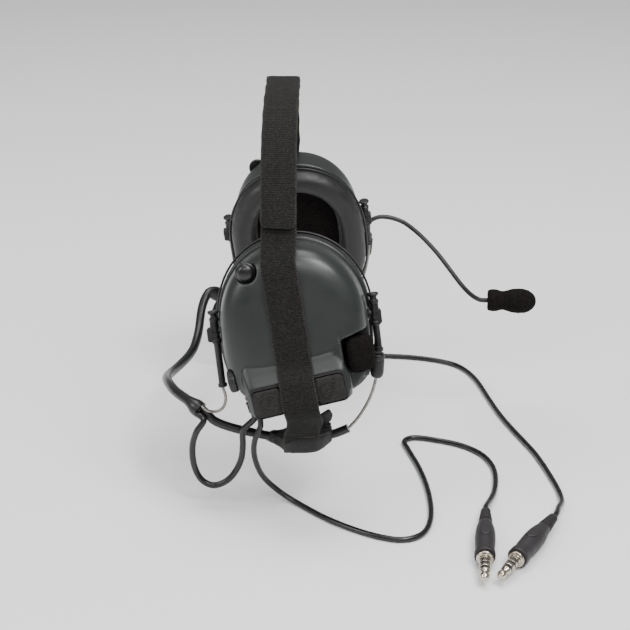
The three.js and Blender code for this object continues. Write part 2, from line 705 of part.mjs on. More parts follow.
const LINK_CABLE = [
  cableFrom(LINK_GLAND, GAP + 0.1),
  cableFrom(LINK_GLAND, 4),
  v(-34.4, -111.2, -70),
  v(-34.9, -110.4, -80),
  v(-36, -110, -91),
  v(-39.6, -110, -100),
  v(-45.4, -110, -107.4),
  v(-54.4, -109.4, -111.6),
  v(-62, -108.4, -108.4),
  v(-66.6, -107, -100),
  v(-68, -106.6, -90),
  v(-67, -108, -80),
  v(-64, -109.6, -71.4),
  byMouth(-3.2, -1.2, 7),
  byMouth(-3.2, -1.2, GAP + 0.1),
];
const RIGHT_LEAD = [
  cableFrom(LEAD_GLAND, GAP + 0.1),
  cableFrom(LEAD_GLAND, 5),
  v(-26.6, -119.6, -73),
  v(-27.6, -116.6, -84),
  v(-25.4, -112, -97),
  v(-20.6, -106.4, -109),
  v(-9.8, -104.4, -120.4),
  v(6, -119, TABLE_Z + LEAD_RADIUS),
  v(19.8, -133.5, TABLE_Z + LEAD_RADIUS),
  v(37.4, -147.5, TABLE_Z + LEAD_RADIUS),
  v(54.7, -157, TABLE_Z + LEAD_RADIUS),
  v(67, -159.4, TABLE_Z + LEAD_RADIUS),
  v(78, -153.6, TABLE_Z + LEAD_RADIUS),
  v(84.4, -139, TABLE_Z + LEAD_RADIUS),
  v(86.8, -116, TABLE_Z + LEAD_RADIUS),
  v(85.8, -88, TABLE_Z + LEAD_RADIUS),
  v(81.6, -58, TABLE_Z + LEAD_RADIUS),
  v(75.8, -32, TABLE_Z + LEAD_RADIUS),
  v(74.6, -22, TABLE_Z + LEAD_RADIUS),
  v(80.8, -16.6, TABLE_Z + LEAD_RADIUS),
  v(98, -21, TABLE_Z + LEAD_RADIUS),
  v(115, -29.4, TABLE_Z + LEAD_RADIUS),
  v(127.6, -43.8, TABLE_Z + LEAD_RADIUS),
  v(133, -62, TABLE_Z + LEAD_RADIUS),
  v(132.8, -80, TABLE_Z + LEAD_RADIUS),
  v(129.4, -100, TABLE_Z + LEAD_RADIUS + 0.6),
  v(124.2, -117, TABLE_Z + LEAD_RADIUS + 3),
];
const LEFT_LEAD = [
  ...mirrored([cableFrom(LEAD_GLAND, GAP + 0.1), cableFrom(LEAD_GLAND, 5)]),
  v(-24.6, 121.6, -80),
  v(-17, 122.6, -100),
  v(1, 124, -117),
  v(26, 127, TABLE_Z + LEAD_RADIUS),
  v(62, 129, TABLE_Z + LEAD_RADIUS),
  v(96, 124, TABLE_Z + LEAD_RADIUS),
  v(121.5, 111, TABLE_Z + LEAD_RADIUS),
  v(133.4, 88, TABLE_Z + LEAD_RADIUS),
  v(139.8, 57, TABLE_Z + LEAD_RADIUS),
  v(146.4, 22, TABLE_Z + LEAD_RADIUS),
  v(154.4, -8, TABLE_Z + LEAD_RADIUS),
  v(164, -40, TABLE_Z + LEAD_RADIUS),
  v(169.6, -70, TABLE_Z + LEAD_RADIUS),
  v(173, -96, TABLE_Z + LEAD_RADIUS),
  v(172.6, -112, TABLE_Z + LEAD_RADIUS + 1),
  v(168.6, -124.5, TABLE_Z + LEAD_RADIUS + 3.4),
];

// Plugs lie on the table. Each is placed by its collar and the way it points.
const PLUG_BODY_RADIUS = 6.5;
const PLUG_HEIGHT = TABLE_Z + PLUG_BODY_RADIUS + 0.4;
const PLUGS = [
  { name: 'right_plug', collar: v(114.6, -189, PLUG_HEIGHT), points: v(-0.107, -0.994, 0), lead: RIGHT_LEAD },
  { name: 'left_plug', collar: v(134, -190, PLUG_HEIGHT), points: v(-0.502, -0.865, 0), lead: LEFT_LEAD },
];
const BOOT = [
  [0, -58], [2.7, -58], [3.6, -46], [6.1, -32], [6.4, -22],
  [5.8, -6], [PLUG_BODY_RADIUS, -5], [PLUG_BODY_RADIUS, 0], [0, 0],
];
const JACK = [
  [0, GAP], [5.2, GAP], [5.2, 2.4], [3.55, 2.8], [3.55, 14], [3.1, 14.6],
  [3.1, 18], [2.2, 18.8], [2.2, 20], [2.9, 21.6], [2.4, 24.2], [0, 25.6],
];

[['right', (points) => points], ['left', mirrored]].forEach(([side, placed]) => {
  add(`${side}_front_wire`, tube(placed(FRONT_WIRE), WIRE_RADIUS, 8, 14), 'steel');
  add(`${side}_rear_wire`, tube(placed(REAR_WIRE), WIRE_RADIUS, 8, 15), 'steel');
  add(`${side}_sheath`, tube(placed(SHEATH), SHEATH_RADIUS, 8, 16), 'rubber');
  add(`${side}_keeper`, side === 'left' ? flip(keeper().applyMatrix4(MIRROR)) : keeper(), 'plastic');
  add(`${side}_link_cable`, tube(placed(LINK_CABLE), LINK_RADIUS, 8, 20), 'rubber');
});
add('neck_sleeve', neckSleeve(), 'rubber');
add('right_strap', ribbon(RIGHT_STRAP, false), 'fabric');
add('left_strap', ribbon(LEFT_STRAP, true), 'fabric');
PLUGS.forEach(({ name, collar, points, lead }) => {
  const entry = collar.clone().addScaledVector(points, -58 - GAP - 0.1);
  const route = [...lead, entry.clone().addScaledVector(points, -4), entry];
  add(`${name}_lead`, tube(route, LEAD_RADIUS, 8, 46), 'rubber');
  add(`${name}_boot`, turned(BOOT, collar, points, 12), 'rubber');
  add(`${name}_jack`, turned(JACK, collar, points, 12), 'copper');
});

export default group;
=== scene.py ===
from math import copysign, cos, pi, radians, sin, sqrt

import bmesh
import bpy
import numpy as np
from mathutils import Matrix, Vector, noise


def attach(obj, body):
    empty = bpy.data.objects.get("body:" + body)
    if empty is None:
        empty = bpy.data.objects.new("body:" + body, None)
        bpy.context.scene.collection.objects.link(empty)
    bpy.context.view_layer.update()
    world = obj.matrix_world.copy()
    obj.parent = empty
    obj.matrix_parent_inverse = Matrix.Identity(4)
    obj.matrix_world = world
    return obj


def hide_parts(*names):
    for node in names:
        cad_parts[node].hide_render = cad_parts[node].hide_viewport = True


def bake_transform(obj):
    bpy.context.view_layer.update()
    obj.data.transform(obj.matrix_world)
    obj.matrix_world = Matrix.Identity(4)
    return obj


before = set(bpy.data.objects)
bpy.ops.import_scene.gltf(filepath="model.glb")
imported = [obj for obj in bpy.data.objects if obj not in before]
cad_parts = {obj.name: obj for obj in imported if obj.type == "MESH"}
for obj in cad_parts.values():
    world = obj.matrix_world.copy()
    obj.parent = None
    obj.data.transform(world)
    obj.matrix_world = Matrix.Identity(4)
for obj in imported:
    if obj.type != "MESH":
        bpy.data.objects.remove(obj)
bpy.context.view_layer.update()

MM = 0.001
# Each cup's frame: pitched back, its lower edge leaning in, this far in millimetres from the headset's middle
PITCH = radians(7)
LEAN = radians(12)
CUP_DISTANCE = 101
FORWARD = np.array([cos(PITCH), 0, sin(PITCH)])
OUTWARD = np.array([-sin(LEAN) * sin(PITCH), -cos(LEAN), sin(LEAN) * cos(PITCH)])
UPWARD = np.cross(OUTWARD, FORWARD)
CUP_BASIS = np.array([FORWARD, UPWARD, OUTWARD])
CUP_PLACE = np.array([0, -CUP_DISTANCE, 0])
MIRROR = np.array([1, -1, 1])
TABLE_Z = -125
SIDES = ("right", "left")
ON_AXIS = 1e-3
MOST_OF_EDGE = 0.45
SHORTEST_CURVE = 0.02


# Geometry


def v(*values):
    return np.array(values, float)


def unit(vector):
    return np.asarray(vector, float) / np.linalg.norm(vector)


def from_cup(points, side="right"):
    """Points in the cup frame (forward, up, out) to the headset's frame, in millimetres."""
    placed = np.asarray(points, float) @ CUP_BASIS + CUP_PLACE
    return placed * MIRROR if side == "left" else placed


def to_side(points, side):
    return np.asarray(points, float) * MIRROR if side == "left" else np.asarray(points, float)


def mirrored(body, side):
    return to_side(body[0], side), body[1]


def cup_body(body, side):
    return from_cup(body[0], side), body[1]


def around(count):
    """Even angles round a full turn."""
    return np.linspace(0, 2 * pi, count, endpoint=False)


def metres(point):
    return tuple(float(x) * MM for x in point)


def put(name, points, faces, material, crease=40, uvs=None):
    """A mesh object from points in millimetres. Edges that turn more than crease degrees stay sharp."""
    mesh = bpy.data.meshes.new(name)
    mesh.from_pydata([tuple(p) for p in np.asarray(points, float) * MM], [], [tuple(f) for f in faces])
    if uvs is not None:
        layer = mesh.uv_layers.new(name="UVMap")
        corners = np.empty(len(mesh.loops), int)
        mesh.loops.foreach_get("vertex_index", corners)
        layer.data.foreach_set("uv", np.asarray(uvs, float)[corners].ravel())
    finish_mesh(mesh, crease)
    mesh.materials.append(material)
    obj = bpy.data.objects.new(name, mesh)
    bpy.context.scene.collection.objects.link(obj)
    return obj


def finish_mesh(mesh, crease):
    shape = bmesh.new()
    shape.from_mesh(mesh)
    bmesh.ops.recalc_face_normals(shape, faces=shape.faces)
    limit = radians(crease)
    for face in shape.faces:
        face.smooth = True
    for edge in shape.edges:
        edge.smooth = len(edge.link_faces) != 2 or edge.calc_face_angle(0) < limit
    shape.to_mesh(mesh)
    shape.free()


def bridged(rings, pairs):
    """The quads between rings of equal count, for pairs of ring numbers."""
    count = rings.shape[1]
    faces = []
    for here, after in pairs:
        for i in range(count):
            j = (i + 1) % count
            faces.append((here * count + i, here * count + j, after * count + j, after * count + i))
    return faces


def loft(rings):
    """Points and faces of a body through rings of equal count, closed by a face at each end."""
    rings = np.asarray(rings, float)
    total, count = rings.shape[:2]
    faces = bridged(rings, [(r, r + 1) for r in range(total - 1)])
    last = (total - 1) * count
    faces += [tuple(range(count - 1, -1, -1)), tuple(range(last, last + count))]
    return rings.reshape(-1, 3), faces


def loop(sections):
    """Points and faces of a closed ring through sections of equal count."""
    sections = np.asarray(sections, float)
    total = len(sections)
    return sections.reshape(-1, 3), bridged(sections, [(k, (k + 1) % total) for k in range(total)])


def merged(*bodies):
    points, faces, start = [], [], 0
    for body_points, body_faces in bodies:
        points.append(np.asarray(body_points, float))
        faces += [tuple(i + start for i in face) for face in body_faces]
        start += len(body_points)
    return np.vstack(points), faces


def across(axis):
    axis = unit(axis)
    other = v(0, 0, 1) if abs(axis[2]) < 0.9 else v(1, 0, 0)
    side = unit(np.cross(other, axis))
    return side, np.cross(axis, side)


def turned(profile, origin, axis, segments=48):
    """A turned body; the profile holds (radius, height) pairs, and radii near zero close on the axis."""
    side, up = across(axis)
    axis = unit(axis)
    return loft([
        [origin + axis * h + max(r, ON_AXIS) * (side * cos(a) + up * sin(a)) for a in around(segments)]
        for r, h in profile
    ])


def softened(profile, radius=0.3, steps=3):
    """A turned profile with each corner but the first and last replaced by a short curve."""
    out = [profile[0]]
    for before, here, after in zip(profile, profile[1:], profile[2:]):
        a, b, c = (np.array(p, float) for p in (before, here, after))
        reach = min(radius, np.linalg.norm(a - b) * MOST_OF_EDGE, np.linalg.norm(c - b) * MOST_OF_EDGE)
        if reach < SHORTEST_CURVE:
            out.append(here)
            continue
        start, end = b + unit(a - b) * reach, b + unit(c - b) * reach
        for t in np.linspace(0, 1, steps + 1):
            out.append(tuple((1 - t) ** 2 * start + 2 * t * (1 - t) * b + t**2 * end))
    out.append(profile[-1])
    return out


def smooth_path(points, step):
    """Even points on the centripetal curve through the given ones."""
    p = np.asarray(points, float)
    p = np.vstack([2 * p[0] - p[1], p, 2 * p[-1] - p[-2]])
    dense = []
    for i in range(1, len(p) - 2):
        q = p[i - 1 : i + 3]
        knots = np.concatenate([[0], np.cumsum(np.linalg.norm(np.diff(q, axis=0), axis=1) ** 0.5)])
        for t in np.linspace(knots[1], knots[2], 30, endpoint=False):
            rows = q
            for order in (1, 2, 3):
                spans = [(knots[k], knots[k + order]) for k in range(4 - order)]
                rows = [
                    ((end - t) * rows[k] + (t - start) * rows[k + 1]) / (end - start)
                    for k, (start, end) in enumerate(spans)
                ]
            dense.append(rows[0])
    dense.append(p[-2])
    dense = np.array(dense)
    reach = np.concatenate([[0], np.cumsum(np.linalg.norm(np.diff(dense, axis=0), axis=1))])
    count = max(2, int(round(reach[-1] / step)) + 1)
    wanted = np.linspace(0, reach[-1], count)
    return np.stack([np.interp(wanted, reach, dense[:, k]) for k in range(3)], axis=1)


def length_of(path):
    return float(np.linalg.norm(np.diff(path, axis=0), axis=1).sum())


def tangents(path):
    along = np.gradient(path, axis=0)
    return along / np.linalg.norm(along, axis=1)[:, None]


def carried(path):
    """Side and up directions carried along a path without twisting."""
    along = tangents(path)
    side = across(along[0])[0]
    sides = []
    for direction in along:
        side = unit(side - direction * side.dot(direction))
        sides.append(side)
    return sides, np.cross(along, sides)


def eased(rows, steps=4):
    """Rows of numbers with smooth in-between rows."""
    path = np.asarray(rows, float)
    out = []
    for i in range(len(path) - 1):
        before = path[max(i - 1, 0)]
        after = path[min(i + 2, len(path) - 1)]
        for t in np.linspace(0, 1, steps, endpoint=False):
            a, b = path[i], path[i + 1]
            tangent_a, tangent_b = (b - before) / 2, (after - a) / 2
            out.append((2 * t**3 - 3 * t**2 + 1) * a + (t**3 - 2 * t**2 + t) * tangent_a
                       + (-2 * t**3 + 3 * t**2) * b + (t**3 - t**2) * tangent_b)
    out.append(path[-1])
    return out


def tube(path, radius, sides=20):
    """A round tube with flat ends. radius is a number or one number for each point."""
    radii = np.broadcast_to(radius, len(path))
    return loft([
        [p + r * (s * cos(a) + u * sin(a)) for a in around(sides)]
        for p, r, s, u in zip(path, radii, *carried(path))
    ])


def rounded_ring(half, low, high, corner, height, per_corner=6):
    """A rounded rectangle, half wide to each side and from low to high, at a height."""
    ring = []
    centres = [
        (half - corner, high - corner), (corner - half, high - corner),
        (corner - half, low + corner), (half - corner, low + corner),
    ]
    for quarter, (x, y) in enumerate(centres):
        for k in range(per_corner + 1):
            angle = (quarter + k / per_corner) * pi / 2
            ring.append((x + corner * cos(angle), y + corner * sin(angle), height))
    return ring


def pillow(rows, per_corner=6):
    """A body through rounded rectangles: half width, low, high, corner radius and height in each row."""
    return loft([rounded_ring(*row, per_corner=per_corner) for row in rows])


def prism(outline, low, high):
    return loft([[(x, y, z) for x, y in outline] for z in (low, high)])


def block(low, high):
    (x0, y0, z0), (x1, y1, z1) = low, high
    return prism([(x0, y0), (x1, y0), (x1, y1), (x0, y1)], z0, z1)


def shift(body, offset):
    return body[0] + np.asarray(offset, float), body[1]


def spun(body, angle, centre=(0, 0)):
    """Turns a body about the cup's outward axis."""
    c, s = cos(angle), sin(angle)
    p = np.asarray(body[0], float).copy()
    x, y = p[:, 0] - centre[0], p[:, 1] - centre[1]
    p[:, 0], p[:, 1] = centre[0] + c * x - s * y, centre[1] + s * x + c * y
    return p, body[1]


def temporary(body):
    """A working object that is dropped again."""
    mesh = bpy.data.meshes.new("work")
    mesh.from_pydata([tuple(p) for p in body[0]], [], [tuple(f) for f in body[1]])
    shape = bmesh.new()
    shape.from_mesh(mesh)
    bmesh.ops.triangulate(shape, faces=[f for f in shape.faces if len(f.verts) > 4])
    bmesh.ops.recalc_face_normals(shape, faces=shape.faces)
    shape.to_mesh(mesh)
    shape.free()
    obj = bpy.data.objects.new("work", mesh)
    bpy.context.scene.collection.objects.link(obj)
    return obj


def applied(obj):
    """The object's mesh with its modifiers, as points and faces."""
    graph = bpy.context.evaluated_depsgraph_get()
    mesh = obj.evaluated_get(graph).to_mesh()
    points = np.empty(len(mesh.vertices) * 3)
    mesh.vertices.foreach_get("co", points)
    faces = [tuple(p.vertices) for p in mesh.polygons]
    obj.evaluated_get(graph).to_mesh_clear()
    return points.reshape(-1, 3), faces


def dropped(*objects):
    for obj in objects:
        mesh = obj.data
        bpy.data.objects.remove(obj)
        bpy.data.meshes.remove(mesh)


def combined(base, bodies, how):
    """Adds a boolean step to base for each body, and gives the objects that the steps use."""
    tools = []
    for body in bodies:
        step = base.modifiers.new("step", "BOOLEAN")
        step.operation = how
        step.solver = "EXACT"
        step.object = temporary(body)
        tools.append(step.object)
    return tools


def less(body, cuts):
    base = temporary(body)
    tools = combined(base, cuts, "DIFFERENCE")
    result = applied(base)
    dropped(base, *tools)
    return result


def on_grid(obj, cell):
    grid = obj.modifiers.new("grid", "REMESH")
    grid.mode = "VOXEL"
    grid.voxel_size = cell


def carve(adds, cuts, cell, smoothing=4):
    """One body: adds together, less cuts, rebuilt on a fine grid and smoothed until its edges round over."""
    base = temporary(adds[0])
    tools = combined(base, adds[1:], "UNION") + combined(base, cuts, "DIFFERENCE")
    on_grid(base, cell)
    ease = base.modifiers.new("ease", "SMOOTH")
    ease.factor = 0.5
    ease.iterations = smoothing
    result = applied(base)
    dropped(base, *tools)
    return result


# Materials. WARP_ENDS is the count of threads across the webbing, and RIB its ribs' spacing in millimetres

WARP_ENDS = 34
RIB = 1.5


def nodes_of(name):
    material = bpy.data.materials.new(name)
    material.use_nodes = True
    return material, material.node_tree, material.node_tree.nodes["Principled BSDF"]


def feed(tree, node, **values):
    """Sets inputs, named with _ for each space, to numbers, colours or other nodes' outputs."""
    for key, value in values.items():
        socket = node.inputs[key.replace("_", " ")]
        if isinstance(value, bpy.types.NodeSocket):
            tree.links.new(value, socket)
        else:
            socket.default_value = value
    return node


def new_node(tree, kind, **values):
    return feed(tree, tree.nodes.new("ShaderNode" + kind), **values)


def coordinates(tree, scale=(1, 1, 1)):
    place = new_node(tree, "TexCoord").outputs["Object"]
    return new_node(tree, "Mapping", Scale=scale, Vector=place).outputs["Vector"]


def grain(tree, where, scale, detail=4, rough=0.6):
    node = new_node(tree, "TexNoise", Scale=scale, Detail=detail, Roughness=rough, Vector=where)
    return node.outputs["Fac"]


def ramp(tree, value, stops):
    """A colour for each value between two stops of (value, colour)."""
    node = new_node(tree, "ValToRGB", Fac=value)
    for element, (at, colour) in zip(node.color_ramp.elements, stops):
        element.position = at
        element.color = (*colour, 1)
    return node.outputs["Color"]


def level(tree, value, low, high, start=0.3, end=0.7):
    """Maps value from start..end to low..high."""
    node = new_node(tree, "MapRange", From_Min=start, From_Max=end, To_Min=low, To_Max=high, Value=value)
    return node.outputs["Result"]


def bump(tree, height, strength, distance, normal=None):
    node = new_node(tree, "Bump", Strength=strength, Distance=distance, Height=height)
    if normal is not None:
        feed(tree, node, Normal=normal)
    return node.outputs["Normal"]


def calc(tree, how, *values):
    node = new_node(tree, "Math")
    node.operation = how
    for socket, value in zip(node.inputs, values):
        if isinstance(value, bpy.types.NodeSocket):
            tree.links.new(value, socket)
        else:
            socket.default_value = value
    return node.outputs[0]


def surface(name, dark, light, rough, bumps, patch=40, metal=0, sheen=0, shine=0.5):
    """A mottled surface. rough is its range of roughness, and bumps holds (scale, strength, distance)."""
    material, tree, shader = nodes_of(name)
    where = coordinates(tree)
    colour = ramp(tree, grain(tree, where, patch, 5), [(0.3, dark), (0.7, light)])
    roughness = level(tree, grain(tree, where, patch * 3.1, 4), *rough)
    feed(tree, shader, Base_Color=colour, Roughness=roughness, Metallic=metal, Sheen_Weight=sheen,
         Sheen_Roughness=0.5, Specular_IOR_Level=shine)
    normal = None
    for scale, strength, distance in bumps:
        normal = bump(tree, grain(tree, where, scale, 3), strength, distance, normal)
    if bumps:
        feed(tree, shader, Normal=normal)
    return material


def webbing_material():
    """Ribbed narrow webbing. U runs across it from 0 to 1 and V along it in millimetres."""
    material, tree, shader = nodes_of("webbing")

    def times(a, b):
        return calc(tree, "MULTIPLY", a, b)

    def plus(a, b):
        return calc(tree, "ADD", a, b)

    def wave(value, per_unit):
        return calc(tree, "SINE", times(value, 2 * pi * per_unit))

    place = new_node(tree, "TexCoord").outputs["UV"]
    u, along, _ = new_node(tree, "SeparateXYZ", Vector=place).outputs
    weave = times(wave(u, WARP_ENDS), wave(along, 1 / RIB))
    where = coordinates(tree)
    fuzz = grain(tree, where, 1500, 5, 0.7)
    lint = grain(tree, where, 5200, 2, 0.5)
    patches = grain(tree, where, 820, 3)
    body = ramp(tree, plus(times(fuzz, 0.6), times(patches, 0.4)),
                [(0.38, (0.002, 0.002, 0.002)), (0.62, (0.0125, 0.0115, 0.011))])
    from_middle = calc(tree, "ABSOLUTE", calc(tree, "SUBTRACT", u, 0.5))
    near_edge = level(tree, from_middle, 0, 1, 0.45, 0.475)
    knots = level(tree, wave(along, 1 / RIB), 0, 1, 0.2, 0.9)
    thread = times(times(near_edge, knots), 0.75)
    raised = level(tree, weave, 0, 1, 0.1, 0.9)
    # painted highlight: the raised points of the weave are lightened in patches, standing in for light
    # catching them
    raised_highlight = times(times(raised, level(tree, patches, 0, 1, 0.45, 0.65)), 0.55)
    # pale holds the real lint specks and selvage threads together with that painted highlight
    pale = plus(level(tree, lint, 0, 1, 0.66, 0.8), plus(thread, raised_highlight))
    specks_and_highlight = ramp(tree, pale, [(0, (0, 0, 0)), (1, (0.06, 0.055, 0.048))])
    mix = tree.nodes.new("ShaderNodeMix")
    mix.data_type = "RGBA"
    mix.blend_type = "ADD"
    feed(tree, mix, Factor=1, A=body, B=specks_and_highlight)
    normal = bump(tree, fuzz, 0.6, 0.0002, bump(tree, weave, 0.55, 0.00012))
    feed(tree, shader, Base_Color=mix.outputs["Result"], Roughness=0.9, Sheen_Weight=0.04,
         Specular_IOR_Level=0.22, Normal=normal)
    return material


def steel_material():
    material, tree, shader = nodes_of("spring_steel")
    where = coordinates(tree, (1, 1, 14))
    roughness = level(tree, grain(tree, where, 260), 0.2, 0.42)
    colour = ramp(tree, grain(tree, where, 60), [(0.3, (0.17, 0.16, 0.15)), (0.7, (0.32, 0.30, 0.28))])
    feed(tree, shader, Base_Color=colour, Roughness=roughness, Metallic=1)
    return material


MAT = {
    "shell": surface("shell", (0.0118, 0.0146, 0.0135), (0.0155, 0.0186, 0.0172), (0.30, 0.42),
                     [(5200, 0.10, 0.00006), (260, 0.05, 0.0003)], patch=24),
    "plastic": surface("black_plastic", (0.004, 0.004, 0.0045), (0.009, 0.009, 0.0095), (0.34, 0.5),
                       [(3000, 0.15, 0.00006)], patch=60),
    "gloss": surface("black_gloss", (0.004, 0.004, 0.0045), (0.006, 0.006, 0.007), (0.3, 0.4),
                     [(2000, 0.1, 0.00006)], patch=60),
    "rubber": surface("black_rubber", (0.004, 0.0038, 0.0038), (0.022, 0.0200, 0.0185), (0.62, 0.82),
                      [(2600, 0.3, 0.00012), (420, 0.25, 0.0004)], patch=420, shine=0.3),
    "boot": surface("plug_boot", (0.0115, 0.0095, 0.0108), (0.0175, 0.0148, 0.0168), (0.5, 0.66),
                    [(2400, 0.12, 0.00006)], patch=90),
    "cable": surface("cable_jacket", (0.0035, 0.0035, 0.004), (0.0065, 0.0065, 0.007), (0.24, 0.34),
                     [(1800, 0.05, 0.00004)], patch=70),
    "sleeve": surface("neck_sleeve", (0.004, 0.004, 0.0045), (0.0075, 0.0075, 0.008), (0.28, 0.4),
                      [(1500, 0.15, 0.00008)], patch=70),
    "skin": surface("cushion_skin", (0.005, 0.005, 0.005), (0.009, 0.009, 0.009), (0.4, 0.55),
                    [(1300, 0.35, 0.00015), (380, 0.2, 0.0003)], patch=80, sheen=0.05),
    "foam": surface("open_foam", (0.002, 0.0017, 0.0016), (0.012, 0.0095, 0.009), (0.95, 1),
                    [(2600, 0.8, 0.0004), (900, 0.6, 0.0006)], patch=700, shine=0.12),
    "board": surface("circuit_board", (0.01, 0.08, 0.03), (0.015, 0.11, 0.045), (0.3, 0.45),
                     [(900, 0.2, 0.0002)]),
    "battery": surface("battery_can", (0.06, 0.062, 0.066), (0.09, 0.092, 0.096), (0.25, 0.35), [],
                       metal=0.9),
    "jack": surface("plug_metal", (0.5, 0.445, 0.37), (0.56, 0.505, 0.42), (0.17, 0.24), [],
                    patch=60, metal=1),
    "band": surface("plug_insulator", (0.003, 0.003, 0.003), (0.005, 0.005, 0.005), (0.3, 0.4), []),
    "webbing": webbing_material(),
    "cloth": surface("cover_cloth", (0.006, 0.0058, 0.0058), (0.014, 0.013, 0.0125), (0.75, 0.9),
                     [(2600, 0.5, 0.0002), (300, 0.4, 0.0006)], patch=240, sheen=0.05),
    "webbing_edge": surface("stitching", (0.02, 0.019, 0.018), (0.06, 0.055, 0.05), (0.7, 0.9),
                            [(3000, 0.5, 0.0002)], patch=700),
    "steel": steel_material(),
}


# Camera and light

ELEVATION = radians(22)
CAMERA_DISTANCE = 1.1
AIM = Vector((0.0115, 0, -0.036))
camera_data = bpy.data.cameras.new("camera")
camera_data.lens = 90
camera_data.sensor_width = 36
camera_data.clip_end = 20
camera = bpy.data.objects.new("camera", camera_data)
camera.rotation_euler = (pi / 2 - ELEVATION, 0, 0)
camera.location = AIM + Vector((0, -cos(ELEVATION), sin(ELEVATION))) * CAMERA_DISTANCE
bpy.context.scene.collection.objects.link(camera)
bpy.context.scene.camera = camera


def lamp(name, place, size, power):
    data = bpy.data.lights.new(name, "AREA")
    data.shape = "RECTANGLE"
    data.size, data.size_y = size
    data.energy = power
    obj = bpy.data.objects.new(name, data)
    obj.location = place
    obj.rotation_euler = (AIM - Vector(place)).to_track_quat("-Z", "Y").to_euler()
    bpy.context.scene.collection.objects.link(obj)


lamp("key_light", (0.75, -0.75, 1.6), (0.9, 0.7), 30)
lamp("left_light", (-1.5, -0.7, 1.1), (0.7, 1), 15)
lamp("front_light", (0.05, -1.35, 1.15), (1.5, 0.45), 11)
lamp("top_light", (0, 0.35, 2), (1.6, 1.2), 34)
world = bpy.data.worlds.new("studio")
world.use_nodes = True
feed(world.node_tree, world.node_tree.nodes["Background"], Color=(1, 1, 1, 1), Strength=0.32)
bpy.context.scene.world = world

FLOOR_REACH = 6000
floor_material, floor_tree, floor_shader = nodes_of("floor")
feed(floor_tree, floor_shader, Base_Color=(0.86, 0.86, 0.86, 1), Roughness=0.9)
corners = [(x * FLOOR_REACH, y * FLOOR_REACH, TABLE_Z) for x, y in ((-1, -1), (1, -1), (1, 1), (-1, 1))]
floor = put("floor", corners, [(0, 1, 2, 3)], floor_material)


def show(name, body, material, rides, *stands_for, crease=40, uvs=None):
    obj = put(name, body[0], body[1], MAT[material], crease, uvs)
    if rides:
        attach(obj, rides)
    if stands_for:
        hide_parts(*stands_for)
    return obj


# Cords

LINK_RADIUS = 2.1
LEAD_RADIUS = 1.9
LEAD_GLAND = v(-30, -51, 5.4)
LEAD_WAY = unit(v(-0.05, -1, 0))
LINK_GLAND = v(-35.2, -47.7, 0)
LINK_WAY = unit(v(0.1, -1, 0))
MOUTH = v(-62.5, -102.8, -60.6)
MOUTH_AXIS = unit(v(-6.5, 4.8, 3.6))
MOUTH_UP = unit(v(0, 0, 1) - MOUTH_AXIS * MOUTH_AXIS[2])
MOUTH_SIDE = np.cross(MOUTH_AXIS, MOUTH_UP)
LAID = TABLE_Z + LEAD_RADIUS


def by_mouth(side, up, before):
    """A point this far in front of the neck sleeve's mouth, and to the side and above its middle."""
    return MOUTH - MOUTH_AXIS * before + MOUTH_SIDE * side + MOUTH_UP * up


LINK_ROUTE = [
    *[from_cup(LINK_GLAND + v(0.1, -1, 0) * reach) for reach in (7.1, 11)],
    v(-34.4, -111.2, -70), v(-34.9, -110.4, -80), v(-36, -110, -91), v(-39.6, -110, -100),
    v(-45.4, -110, -107.4), v(-54.4, -109.4, -111.6), v(-62, -108.4, -108.4), v(-66.6, -107, -100),
    v(-68, -106.6, -90), v(-67, -108, -80), v(-64, -109.6, -71.4),
    by_mouth(-3.2, -1.2, 7), by_mouth(-3.2, -1.2, 0.4),
]
RIGHT_LEAD_ROUTE = [
    *[from_cup(LEAD_GLAND + v(-0.05, -1, 0) * reach) for reach in (7.1, 12)],
    v(-26.6, -119.6, -73), v(-27.6, -116.6, -84), v(-25.4, -112, -97), v(-20.6, -106.4, -109),
    v(-9.8, -104.4, -120.4), v(6, -119, LAID), v(19.8, -133.5, LAID), v(37.4, -147.5, LAID),
    v(54.7, -157, LAID), v(67, -159.4, LAID), v(78, -153.6, LAID), v(84.4, -139, LAID),
    v(86.8, -116, LAID), v(85.8, -88, LAID), v(81.6, -58, LAID), v(75.8, -32, LAID),
    v(74.6, -22, LAID), v(80.8, -16.6, LAID), v(98, -21, LAID), v(115, -29.4, LAID),
    v(127.6, -43.8, LAID), v(133, -62, LAID), v(132.8, -80, LAID), v(129.4, -100, LAID + 0.6),
    v(124.2, -117, LAID + 3),
]
LEFT_LEAD_ROUTE = [
    *[from_cup(LEAD_GLAND + v(-0.05, -1, 0) * reach, "left") for reach in (7.1, 12)],
    v(-24.6, 121.6, -80), v(-17, 122.6, -100), v(1, 124, -117), v(26, 127, LAID), v(62, 129, LAID),
    v(96, 124, LAID), v(121.5, 111, LAID), v(133.4, 88, LAID), v(139.8, 57, LAID), v(146.4, 22, LAID),
    v(154.4, -8, LAID), v(164, -40, LAID), v(169.6, -70, LAID), v(173, -96, LAID),
    v(172.6, -112, LAID + 1), v(168.6, -124.5, LAID + 3.4),
]
PLUG_HEIGHT = TABLE_Z + 6.9
PLUGS = {
    "right": (v(114.6, -189, PLUG_HEIGHT), unit(v(-0.107, -0.994, 0)), RIGHT_LEAD_ROUTE),
    "left": (v(134, -190, PLUG_HEIGHT), unit(v(-0.502, -0.865, 0)), LEFT_LEAD_ROUTE),
}
CABLE_STEP = 1.6
TAIL = 20
PLUG_END = 58
RIB_COUNT = 6
RIB_PITCH = 2.4


